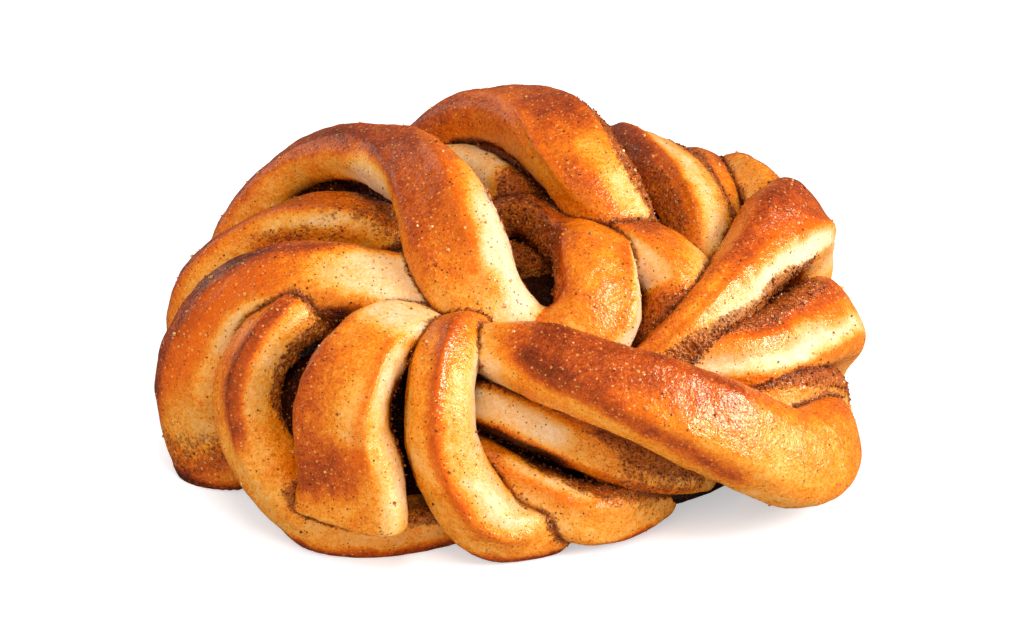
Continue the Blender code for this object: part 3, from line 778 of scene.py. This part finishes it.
def openness(place, look, others):
    """The share of the oven's room that a place sees past the strands round it."""
    start = Vector(place + look * RAY_START)
    total = 0.0
    for ray in rays:
        aim = Vector(ray + look * RAY_LEAN)
        nearest = OVEN_REACH
        for tree in others:
            hit = tree.ray_cast(start, aim, nearest)
            if hit[0] is not None:
                nearest = hit[3]
                if nearest < RAY_CLOSE:
                    break
        total += nearest / OVEN_REACH
    return total / OVEN_RAYS


def gap_width(place, others):
    """How far off the next strand's skin is, and less than 0 inside it."""
    place = Vector(place)
    gap = TOUCH_REACH
    for tree in others:
        hit = tree.find_nearest(place, TOUCH_REACH)
        if hit[0] is not None:
            gap = min(gap, hit[3] if (place - hit[0]).dot(hit[1]) > 0 else -hit[3])
    return gap


def measured(grid, steps, at_tips, measure):
    """A measure taken every few rings and sides, and spread over all points and both tips."""
    count, around = grid.shape[:2]
    rows = np.unique(np.append(np.arange(0, count, steps[0]), count - 1))
    sides = np.arange(0, around, steps[1])
    coarse = np.array([[measure(row, side) for side in sides] for row in rows], float)
    full = np.stack([np.interp(np.arange(count), rows, line) for line in coarse.T], 1)
    full = np.concatenate([full, full[:, :1]], 1)
    sides = np.append(sides, around)
    spread = np.stack([np.interp(np.arange(around), sides, line) for line in full])
    return np.append(spread.ravel(), [at_tips, at_tips])


every_strand = [s for part in laid for s in part["strands"]]
trees = [search_tree(s) for s in every_strand]
lows = [s["points"].min(axis=0) - TOUCH_REACH for s in every_strand]
highs = [s["points"].max(axis=0) + TOUCH_REACH for s in every_strand]
rays = np.random.default_rng(41).normal(size=(OVEN_RAYS, 3))
rays /= np.linalg.norm(rays, axis=1)[:, None]

for number, shape in enumerate(every_strand):
    grid = shape["grid"]
    outward = grid_outward(grid)
    around_it = [trees[i] for i in range(len(trees)) if near_boxes(i, number, OVEN_REACH)]
    shape["open"] = measured(grid, OPEN_STEPS, at_tips=0.5, measure=lambda row, side: openness(
        grid[row, side], outward[row, side], around_it))
    touching = [trees[i] for i, other in enumerate(every_strand)
                if i != number and near_boxes(i, number)
                and not (shape["fuse"] and other["fuse"] == shape["fuse"])]
    shape["gap"] = measured(grid, GAP_STEPS, at_tips=0.0, measure=lambda row, side: gap_width(
        grid[row, side], touching))


def lumps(points, size, seed):
    """Smooth random values between about -1 and 1, in lumps of the given size."""
    cells = 32
    table = np.random.default_rng(seed).uniform(-1.0, 1.0, (cells, cells, cells))
    place = points / size + 1000.0      # away from the block's own corner
    cell = np.floor(place).astype(int)
    part = place - cell
    part = part ** 3 * (part * (part * 6 - 15) + 10)
    total = np.zeros(len(points))
    for corner in itertools.product((0, 1), repeat=3):
        corner = np.array(corner)
        weight = np.prod(np.where(corner, part, 1 - part), axis=1)
        x, y, z = ((cell + corner) % cells).T
        total += weight * table[x, y, z]
    return total * 1.4      # blending has drawn the values together


def mark_mask(share, angle, rows, softness):
    """1 inside a mark's rows of share and angles, falling softly to 0 outside them."""
    rows = np.array(rows, float)
    low = np.interp(share, rows[:, 0], rows[:, 1])
    high = np.interp(share, rows[:, 0], rows[:, 2])
    off = np.abs(apart(angle, (low + high) / 2)) - (high - low) / 2
    return ((1 - smoothly(-softness, softness, off))
            * between(share, rows[0, 0], rows[-1, 0], *MARK_ENDS))


def strand_facts(strands, points):
    """For each point: which of the strands it is on, and the facts of its place there."""
    owner = np.concatenate([np.full(len(s["points"]), i) for i, s in enumerate(strands)])
    source = np.arange(len(points))
    if strands[0]["fuse"]:
        tree = KDTree(len(owner))
        for i, place in enumerate(np.concatenate([s["points"] for s in strands])):
            tree.insert(place, i)
        tree.balance()
        source = np.array([tree.find(place)[1] for place in points])
    facts = {key: np.concatenate([s[key] for s in strands])[source] for key in FACTS}
    return owner[source], facts


def bake_piece(part):
    """Browning, filling, painted shade, glaze glow and fine lumps for one piece of dough."""
    piece = part["piece"]
    points = plain_points(piece)
    outward = read(piece.data.vertex_normals, "vector", 3)
    height = points[:, 2]
    broad = lumps(points, BROAD, seed=7)
    fine = lumps(points, FINE, seed=8)
    kinds = {kind: np.zeros(len(points)) for kind in MARK_SOFTNESS}

    if part["strands"]:
        owner, facts = strand_facts(part["strands"], points)
        # The edges of the marks wander, by a few degrees and a little way along.
        sway = (EDGE_SWAY[0] * lumps(points, EDGE_WAVES[0], seed=3)
                + EDGE_SWAY[1] * lumps(points, EDGE_WAVES[1], seed=4))
        drift = EDGE_DRIFT * lumps(points, EDGE_WAVES[0], seed=5)
        for i, shape in enumerate(part["strands"]):
            mine = owner == i
            share, angle = facts["share"][mine] + drift[mine], facts["angle"][mine] + sway[mine]
            for kind, marks in shape["marks"].items():
                for amount, *rows in marks:
                    kinds[kind][mine] += amount * mark_mask(share, angle, rows,
                                                            MARK_SOFTNESS[kind])
        gap = facts["gap"]
        heat = smoothly(*HEAT_TURN, outward @ HEAT_SIDE) * smoothly(*HEAT_OPENNESS, facts["open"])
        bake = RAW_TONE + HEAT_TONE * heat + TOP_TONE * height / TOP_Z + kinds["bake"]
        bake += BROAD_TONE * broad + FINE_TONE * fine
        # Painted shade: places that see little of the oven's room, and the narrowest parts of
        # gaps, are darkened, and the shade marks darker still.
        crease_shade = 1 - smoothly(*SHADE_OPENNESS, facts["open"])
        crease_shade = np.maximum(crease_shade, GAP_SHADE * (1 - smoothly(*SHADE_GAP, gap)))
        crease_shade = np.maximum(crease_shade, kinds["deep"])
        spice = kinds["spice"] + FOLD_SPICE * crease_shade
        spice += GAP_SPICE * (1 - smoothly(*SMEAR_GAP, gap)) * (SMEAR_LEVEL + SMEAR_WAVES * broad)
        spice += DUST_SPICE * (1 - smoothly(*DUST_GAP, gap)) * (1 + DUST_WAVES * broad)
    else:
        owner, facts = np.full(len(points), -1), {key: np.zeros(len(points)) for key in FACTS}
        bake = HEART_TONE + BROAD_TONE * broad
        # Painted shade: the hidden middle is dark all over, as the floor of the gaps.
        crease_shade = np.ones(len(points))
        spice = np.full(len(points), HEART_SPICE)
    bake = bake + TRAY_TONE * (1 - smoothly(*TRAY_Z, height + TRAY_WAVES * fine))
    under = smoothly(*UNDER_TURN, -outward[:, 2]) * (1 - smoothly(*UNDER_Z, height))
    bake = np.clip(bake * (1 - under) + UNDER_TONE * under, 0.0, 1.0)
    crease_shade = crease_shade * (1 - under)
    spice = np.clip(spice * (1 - UNDER_WIPED * under), 0.0, 1.0)
    amber = np.clip(kinds["amber"], 0.0, 1.0) * (1 - spice)

    # Lumps of the dough, wrinkles of stretched skin and grit of the filling. The owner's
    # number keeps the patterns of two strands apart.
    laid_out = np.stack([facts["along"] / WRINKLE[0], facts["around"] / WRINKLE[1],
                         owner * WRINKLES_APART], 1)
    crease = np.abs(lumps(laid_out, 1.0, seed=11))
    push = BROAD_RISE * broad + FINE_RISE * fine + PORE_RISE * lumps(points, PORE, seed=12)
    push += kinds["wrinkle"] * (WRINKLE_RISE * np.minimum(crease, WRINKLE_TOP) - WRINKLE_SINK)
    grit = smoothly(*GRIT_SPICE, spice + GRIT_PATCH[0] * lumps(points, GRIT_PATCH[1], seed=13))
    push += grit * (COARSE_GRIT[0] * lumps(points, COARSE_GRIT[1], seed=14)
                    + FINE_GRIT[0] * lumps(points, FINE_GRIT[1], seed=15) + GRIT_LAYER)
    push *= smoothly(*FLAT_FOOT, height)
    moved = points + outward * push[:, None] + CENTRING
    moved[:, 2] = np.maximum(moved[:, 2], REST_Z)
    piece.data.vertices.foreach_set("co", (moved * MM).ravel())
    piece.data.update()
    for name, values in (("bake", bake), ("amber", amber), ("spice", spice), ("crease_shade", crease_shade)):
        piece.data.attributes.new(name, "FLOAT", "POINT").data.foreach_set("value", values)
    lay = np.stack([facts["along"], facts["around"], owner * STREAKS_APART], 1)
    piece.data.attributes.new("lay", "FLOAT_VECTOR", "POINT").data.foreach_set(
        "vector", lay.ravel())
    part.update(points=moved, outward=outward, spice=spice, gap=facts["gap"], open=facts["open"])


for part in laid:
    bake_piece(part)


# ---------------------------------------------------------------------------------------
# Crust: sweet wheat dough baked from cream to brown, brushed with syrup that dried to a
# bumpy gloss, and smeared in the folds with a wet paste of cinnamon, butter and sugar.
# ---------------------------------------------------------------------------------------
def paint(red, green, blue):
    """A colour from 0 to 255 as a painter's eye sees it, made linear."""
    return tuple(((v / 255 + 0.055) / 1.055) ** 2.4 if v > 10 else v / 255 / 12.92
                 for v in (red, green, blue)) + (1.0,)


def node(tree, kind, **settings):
    made = tree.nodes.new(kind)
    for key, value in settings.items():
        setattr(made, key, value)
    return made


def feed(tree, source, target):
    """Links a socket, or sets a plain value, on the target socket."""
    if isinstance(source, bpy.types.NodeSocket):
        tree.links.new(source, target)
    else:
        target.default_value = source


def maths(tree, operation, first, second=0.0, third=0.0):
    made = node(tree, "ShaderNodeMath", operation=operation)
    for socket, source in zip(made.inputs, (first, second, third)):
        feed(tree, source, socket)
    return made.outputs[0]


def times(tree, first, second):
    return maths(tree, "MULTIPLY", first, second)


def plus(tree, value, pattern, amount):
    """A value with some of a pattern added to it."""
    return maths(tree, "MULTIPLY_ADD", pattern, amount, value)


def wavered(tree, value, pattern, amount):
    """A value that a pattern moves up and down by an amount from end to end."""
    return plus(tree, value, maths(tree, "SUBTRACT", pattern, 0.5), amount)


def soft_step(tree, value, low, high):
    made = node(tree, "ShaderNodeMapRange", interpolation_type="SMOOTHSTEP")
    feed(tree, value, made.inputs["Value"])
    feed(tree, low, made.inputs["From Min"])
    feed(tree, high, made.inputs["From Max"])
    return made.outputs["Result"]


def grain(tree, vector, size, detail=2.0):
    """Noise from 0 to 1 in grains of the given size in millimetres."""
    made = node(tree, "ShaderNodeTexNoise")
    feed(tree, vector, made.inputs["Vector"])
    made.inputs["Scale"].default_value = 1.0 / size
    made.inputs["Detail"].default_value = detail
    return made.outputs["Fac"]


def patches(tree, vector, size, detail=2.0):
    """The same, drawn apart into patches of nearly 0 and nearly 1."""
    return soft_step(tree, grain(tree, vector, size, detail), 0.3, 0.7)


def blend_colour(tree, factor, first, second, how="MIX"):
    made = node(tree, "ShaderNodeMix", data_type="RGBA", blend_type=how)
    feed(tree, factor, made.inputs[0])
    feed(tree, first, made.inputs[6])
    feed(tree, second, made.inputs[7])
    return made.outputs[2]


def coated(tree, colour, mask, strength, shade):
    """A colour with another shade over it where the mask says, at a strength."""
    return blend_colour(tree, times(tree, mask, strength), colour, paint(*shade))


def shades(tree, value, stops):
    made = node(tree, "ShaderNodeValToRGB")
    feed(tree, value, made.inputs["Fac"])
    ramp = made.color_ramp
    while len(ramp.elements) < len(stops):
        ramp.elements.new(0.5)
    for element, (place, shade) in zip(ramp.elements, stops):
        element.position = place
        element.color = paint(*shade)
    return made.outputs["Color"]


def in_millimetres(tree):
    place = node(tree, "ShaderNodeTexCoord")
    scale = node(tree, "ShaderNodeVectorMath", operation="SCALE")
    feed(tree, place.outputs["Object"], scale.inputs[0])
    scale.inputs["Scale"].default_value = 1 / MM
    return scale.outputs["Vector"]


def shifted(tree, vector, x, y, z):
    """The same texture read elsewhere, so that two layers of dots don't coincide."""
    moved = node(tree, "ShaderNodeVectorMath", operation="ADD")
    feed(tree, vector, moved.inputs[0])
    moved.inputs[1].default_value = (x, y, z)
    return moved.outputs["Vector"]


# Scattered dots: one in each cell at most, of a given size, kept in a share of the cells.
DOT_SOCKETS = ("Place", "Spacing", "Radius", "Share")
dots_group = bpy.data.node_groups.new("scattered_dots", "ShaderNodeTree")
for socket_name in DOT_SOCKETS:
    dots_group.interface.new_socket(
        socket_name, in_out="INPUT",
        socket_type="NodeSocketVector" if socket_name == "Place" else "NodeSocketFloat")
dots_group.interface.new_socket("Mask", in_out="OUTPUT", socket_type="NodeSocketFloat")
dots_in = node(dots_group, "NodeGroupInput").outputs
dots_out = node(dots_group, "NodeGroupOutput").inputs
cells = node(dots_group, "ShaderNodeTexVoronoi")
feed(dots_group, dots_in["Place"], cells.inputs["Vector"])
feed(dots_group, maths(dots_group, "DIVIDE", 1.0, dots_in["Spacing"]), cells.inputs["Scale"])
draws = node(dots_group, "ShaderNodeSeparateColor")
feed(dots_group, cells.outputs["Color"], draws.inputs[0])
kept = maths(dots_group, "LESS_THAN", draws.outputs[0], dots_in["Share"])
radius = times(dots_group, dots_in["Radius"], plus(dots_group, 0.6, draws.outputs[1], 0.8))
distance = times(dots_group, cells.outputs["Distance"], dots_in["Spacing"])
inside = soft_step(dots_group, distance, radius, times(dots_group, radius, 0.55))
feed(dots_group, times(dots_group, inside, kept), dots_out["Mask"])


def dots(tree, place, spacing, radius, share):
    """A mask of scattered dots."""
    made = node(tree, "ShaderNodeGroup", node_tree=dots_group)
    for socket_name, source in zip(DOT_SOCKETS, (place, spacing, radius, share)):
        feed(tree, source, made.inputs[socket_name])
    return made.outputs["Mask"]


crust = bpy.data.materials.new("glazed_dough")
crust.use_nodes = True
tree = crust.node_tree
shader = tree.nodes["Principled BSDF"]
place = in_millimetres(tree)
baked, amber, spice, crease_shade = (node(tree, "ShaderNodeAttribute", attribute_name=name).outputs["Fac"]
                             for name in ("bake", "amber", "spice", "crease_shade"))
lay = node(tree, "ShaderNodeAttribute", attribute_name="lay").outputs["Vector"]

# Browning, with soft blotches, fine grain and faint streaks along the strand.
streak_place = node(tree, "ShaderNodeVectorMath", operation="MULTIPLY")
feed(tree, lay, streak_place.inputs[0])
streak_place.inputs[1].default_value = (0.12, 0.8, 1.0)
streak = grain(tree, streak_place.outputs["Vector"], 1.0)
finest = patches(tree, place, 0.28, 1.0)
tone = baked
for pattern, amount in ((patches(tree, place, 2.6, 3.0), 0.08), (patches(tree, place, 0.7), 0.10),
                        (finest, 0.12), (streak, 0.06)):
    tone = wavered(tree, tone, pattern, amount)
# Painted shade: the shaded folds are browned darker.
tone = plus(tree, tone, crease_shade, 0.35)
colour = shades(tree, tone, [
    (0.00, (241, 203, 158)), (0.14, (238, 182, 114)), (0.28, (236, 160, 56)),
    (0.40, (230, 131, 14)), (0.52, (214, 103, 4)), (0.64, (186, 75, 4)),
    (0.78, (144, 50, 6)), (0.90, (98, 33, 4)), (1.00, (56, 18, 4))])
colour = coated(tree, colour, amber, 0.6, (222, 92, 0))

# Cinnamon: a warm dust on the dough, with dark grains and light sugary ones in it.
dust_grain = patches(tree, place, 0.55)
dust = wavered(tree, spice, patches(tree, place, 2.2), 0.24)
dusted = soft_step(tree, wavered(tree, dust, dust_grain, 0.34), 0.22, 0.72)
colour = coated(tree, colour, dusted, 0.74, (146, 62, 8))
dark_grains = dots(tree, place, spacing=0.55, radius=0.2, share=times(tree, dusted, 0.7))
colour = coated(tree, colour, dark_grains, 0.8, (74, 28, 8))
light_grains = dots(tree, shifted(tree, place, 7.3, 41.9, 3.1), spacing=0.8, radius=0.2,
                    share=times(tree, dusted, 0.5))
colour = coated(tree, colour, light_grains, 0.75, (236, 168, 88))

# Pale beads in the syrup: fine ones all over, and bolder ones on the browned faces, which are
# partly real beads and partly painted glints of the glaze.
fine_beads = dots(tree, shifted(tree, place, 17.1, 5.7, 23.3), spacing=0.62, radius=0.13,
                  share=0.5)
colour = coated(tree, colour, fine_beads, 0.35, (252, 190, 100))
on_brown = soft_step(tree, baked, 0.40, 0.62)
beads_and_glints = dots(tree, place, spacing=0.9, radius=0.21, share=times(tree, on_brown, 0.85))
colour = coated(tree, colour, beads_and_glints, 0.5, (246, 176, 92))

# Ground spice in the dough: red-brown and blue-black specks.
red_specks = dots(tree, shifted(tree, place, 3.9, 29.3, 61.7), spacing=0.66, radius=0.15,
                  share=plus(tree, 0.5, soft_step(tree, spice, 0.0, 0.4), 0.40))
colour = coated(tree, colour, red_specks, 0.88, (136, 42, 0))
dark_specks = dots(tree, shifted(tree, place, 31.7, 12.3, 7.9), spacing=1.05, radius=0.18,
                   share=0.34)
colour = coated(tree, colour, dark_specks, 0.85, (50, 22, 10))

# Painted shade: deep in the folds and gaps the colour is darkened nearly to black.
feed(tree, blend_colour(tree, crease_shade, colour, (0.09, 0.03, 0.012, 1.0), "MULTIPLY"),
     shader.inputs["Base Color"])

# Gloss: the syrup shines on browned faces, and the dusted folds are duller.
glaze = soft_step(tree, tone, 0.15, 0.50)
rough = plus(tree, 0.40, glaze, -0.17)
rough = plus(tree, rough, amber, -0.06)
rough = plus(tree, rough, dusted, 0.05)
feed(tree, rough, shader.inputs["Roughness"])
shader.inputs["Specular IOR Level"].default_value = 0.85
shader.inputs["Specular Tint"].default_value = (1.0, 0.84, 0.62, 1.0)

# Relief in millimetres: skin of the syrup, beads, specks and the grit of the spice.
relief = times(tree, patches(tree, place, 0.8), plus(tree, 0.025, glaze, 0.045))
for pattern, height in ((finest, 0.022), (streak, 0.015), (fine_beads, 0.03), (beads_and_glints, 0.05),
                        (red_specks, 0.02), (dark_specks, 0.05), (dark_grains, 0.10),
                        (light_grains, 0.14), (times(tree, dusted, dust_grain), 0.20)):
    relief = plus(tree, relief, pattern, height)
bump = node(tree, "ShaderNodeBump")
bump.inputs["Strength"].default_value = 1.0
bump.inputs["Distance"].default_value = MM
feed(tree, relief, bump.inputs["Height"])
feed(tree, bump.outputs["Normal"], shader.inputs["Normal"])

for part in laid:
    part["piece"].data.materials.append(crust)


# ---------------------------------------------------------------------------------------
# Loose grains on the knot: coarse sugar that stuck to the syrup, crumbs of the baked
# filling along the folds, and bits of ground cardamom. Each is a true-size grain.
# ---------------------------------------------------------------------------------------
CUBE = (np.array(list(itertools.product((-1, 1), repeat=3)), float) * 0.62,
        ((0, 1, 3, 2), (4, 6, 7, 5), (0, 4, 5, 1), (2, 3, 7, 6), (0, 2, 6, 4), (1, 5, 7, 3)))
CRUMB = (np.array([(1, 0, 0), (-1, 0, 0), (0, 1, 0), (0, -1, 0), (0, 0, 1), (0, 0, -1)], float),
         ((0, 2, 4), (2, 1, 4), (1, 3, 4), (3, 0, 4), (2, 0, 5), (1, 2, 5), (3, 1, 5), (0, 3, 5)))
BARE_GAP = 0.25         # a place nearer to the next strand, or inside it, is out of sight
BARE_Z = 0.6            # and so is one lower than this

for part in laid:
    mesh = part["piece"].data
    corners = read(mesh.loops, "vertex_index", kind=int)
    face_size = read(mesh.polygons, "loop_total", kind=int)
    corner_area = np.repeat(read(mesh.polygons, "area") / face_size, face_size)
    part["area"] = np.bincount(corners, corner_area, len(mesh.vertices))
spots = {key: np.concatenate([part[key] for part in laid])
         for key in ("points", "outward", "spice", "gap", "open", "area")}
visible = (spots["gap"] > BARE_GAP) & (spots["points"][:, 2] > BARE_Z)
visible &= np.concatenate([np.full(len(part["points"]), bool(part["strands"])) for part in laid])


def grain_material(name, first, second, roughness, size):
    """Colour that varies from grain to grain, and a little within one."""
    made = bpy.data.materials.new(name)
    made.use_nodes = True
    grains = made.node_tree
    surface = grains.nodes["Principled BSDF"]
    mixed = soft_step(grains, grain(grains, in_millimetres(grains), size), 0.35, 0.65)
    feed(grains, blend_colour(grains, mixed, paint(*first), paint(*second)),
         surface.inputs["Base Color"])
    surface.inputs["Roughness"].default_value = roughness
    return made


def scatter(name, count, sizes, chance, shape, material, seed, flat=1.0, jitter=0.25, sink=0.1):
    """Grains of random size and turn, set on the dough where the chance says."""
    draw = np.random.default_rng(seed)
    corners, faces = shape
    weight = np.where(visible, chance, 0.0) * spots["area"]
    picked = draw.choice(len(weight), count, replace=False, p=weight / weight.sum())
    size = draw.uniform(*sizes, count)
    turn = draw.normal(size=(count, 4))
    turn /= np.linalg.norm(turn, axis=1)[:, None]
    w, x, y, z = turn.T
    spin = np.stack([
        np.stack([1 - 2 * (y * y + z * z), 2 * (x * y - z * w), 2 * (x * z + y * w)], 1),
        np.stack([2 * (x * y + z * w), 1 - 2 * (x * x + z * z), 2 * (y * z - x * w)], 1),
        np.stack([2 * (x * z - y * w), 2 * (y * z + x * w), 1 - 2 * (x * x + y * y)], 1)], 1)
    grains = corners[None] + draw.uniform(-jitter, jitter, (count, len(corners), 3))
    grains = grains * np.array([1.0, 1.0, flat]) * (size / 2)[:, None, None]
    grains = np.einsum("nij,nkj->nki", spin, grains)
    centre = spots["points"][picked] + spots["outward"][picked] * (size * sink)[:, None]
    points = (grains + centre[:, None]).reshape(-1, 3)
    all_faces = [tuple(v + i * len(corners) for v in f) for i in range(count) for f in faces]
    obj = new_object(name, points, all_faces)
    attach(obj, "root")
    obj.data.materials.append(material)


# Where grains lie: on open upper faces, in the filling, and along the edges of the gaps.
on_top = smoothly(-0.4, 0.6, spots["outward"][:, 2]) * smoothly(0.2, 0.6, spots["open"])
in_filling = smoothly(0.35, 0.9, spots["spice"]) + 0.004
at_edges = 1 - smoothly(0.3, 1.4, spots["gap"])

scatter("sugar_crystals", 190, (0.38, 0.68), on_top + 0.5 * at_edges, CUBE,
        grain_material("sugar", (232, 180, 112), (210, 136, 62), roughness=0.2, size=0.9),
        seed=101, jitter=0.16, sink=0.18)
scatter("fine_sugar", 1100, (0.22, 0.4), 0.4 * on_top + 0.6 * at_edges + 0.4 * in_filling, CRUMB,
        grain_material("browned_sugar", (228, 158, 76), (190, 106, 34), roughness=0.25, size=0.9),
        seed=102, sink=0.15)
scatter("filling_crumbs", 8500, (0.26, 0.68), in_filling + 0.25 * at_edges, CRUMB,
        grain_material("cinnamon_crumb", (164, 84, 26), (84, 36, 12), roughness=0.34, size=0.6),
        seed=103, jitter=0.3, sink=0.12)
scatter("cardamom_specks", 900, (0.2, 0.4), on_top + 0.3, CRUMB,
        grain_material("cardamom", (46, 26, 16), (120, 50, 14), roughness=0.6, size=0.7),
        seed=104, flat=0.6, sink=0.0)


# ---------------------------------------------------------------------------------------
# Stage: a plain white floor in a white room, both kept dim where the glaze mirrors them,
# a soft key lamp low on the right, weaker ones behind, above and on the left, and the
# camera at the height and distance from which the knot is seen. Lengths are metres.
# ---------------------------------------------------------------------------------------
FLOOR_TONE, FLOOR_MIRRORED = 0.72, 0.06
FLOOR_GLOW = 0.46           # lifts the floor to white for the camera alone
ROOM_LIGHT, ROOM_MIRRORED = 0.70, 0.14
WHITE = (1.0, 1.0, 1.0, 1.0)
CAMERA_TARGET = Vector((0.0, -0.0031, 0.0202))
CAMERA_ELEVATION = math.radians(27.0)
CAMERA_DISTANCE = 0.5
CAMERA_LENS = 112.5         # in millimetres, as is the sensor
SENSOR_WIDTH = 36.0

bpy.ops.object.select_all(action="DESELECT")
bpy.ops.mesh.primitive_plane_add(size=6.0, location=(0.0, 0.0, 0.0))
floor = bpy.context.object
floor.name = "floor"
paper = bpy.data.materials.new("white_floor")
paper.use_nodes = True
tree = paper.node_tree
surface = tree.nodes["Principled BSDF"]
surface.inputs["Roughness"].default_value = 0.8
surface.inputs["Emission Color"].default_value = WHITE
seen = node(tree, "ShaderNodeLightPath").outputs
feed(tree, plus(tree, FLOOR_TONE, seen["Is Glossy Ray"], FLOOR_MIRRORED - FLOOR_TONE),
     surface.inputs["Base Color"])
feed(tree, times(tree, seen["Is Camera Ray"], FLOOR_GLOW), surface.inputs["Emission Strength"])
floor.data.materials.append(paper)

world = bpy.data.worlds.new("white_room")
world.use_nodes = True
tree = world.node_tree
room = tree.nodes["Background"]
room.inputs["Color"].default_value = WHITE
seen = node(tree, "ShaderNodeLightPath").outputs
feed(tree, plus(tree, ROOM_LIGHT, seen["Is Glossy Ray"], ROOM_MIRRORED - ROOM_LIGHT),
     room.inputs["Strength"])
bpy.context.scene.world = world


def lamp(name, direction, distance, size, power, mirrored=True):
    """A square soft lamp that looks at the knot from a direction."""
    light = bpy.data.lights.new(name, "AREA")
    light.shape = "SQUARE"
    light.size = size
    light.energy = power
    obj = bpy.data.objects.new(name, light)
    aim = Vector(direction).normalized()
    obj.location = CAMERA_TARGET + aim * distance
    obj.rotation_mode = "QUATERNION"
    obj.rotation_quaternion = aim.to_track_quat("Z", "Y")
    obj.visible_glossy = mirrored
    bpy.context.scene.collection.objects.link(obj)


lamp("key_lamp", (0.86, -0.2, 0.44), distance=0.9, size=0.36, power=9.0)
lamp("back_lamp", (-0.7, 0.65, 0.32), distance=0.9, size=0.4, power=0.5)
lamp("top_lamp", (0.0, -0.35, 1.0), distance=0.9, size=0.35, power=2.8, mirrored=False)
lamp("fill_lamp", (-0.55, -0.75, 0.5), distance=1.0, size=0.6, power=2.2, mirrored=False)

camera = bpy.data.objects.new("camera", bpy.data.cameras.new("camera"))
camera.data.lens = CAMERA_LENS
camera.data.sensor_width = SENSOR_WIDTH
camera.data.clip_start = 0.01
camera.location = CAMERA_TARGET + CAMERA_DISTANCE * Vector(
    (0.0, -math.cos(CAMERA_ELEVATION), math.sin(CAMERA_ELEVATION)))
camera.rotation_euler = (math.pi / 2 - CAMERA_ELEVATION, 0.0, 0.0)
bpy.context.scene.collection.objects.link(camera)
bpy.context.scene.camera = camera
bpy.context.scene.view_settings.view_transform = "Standard"
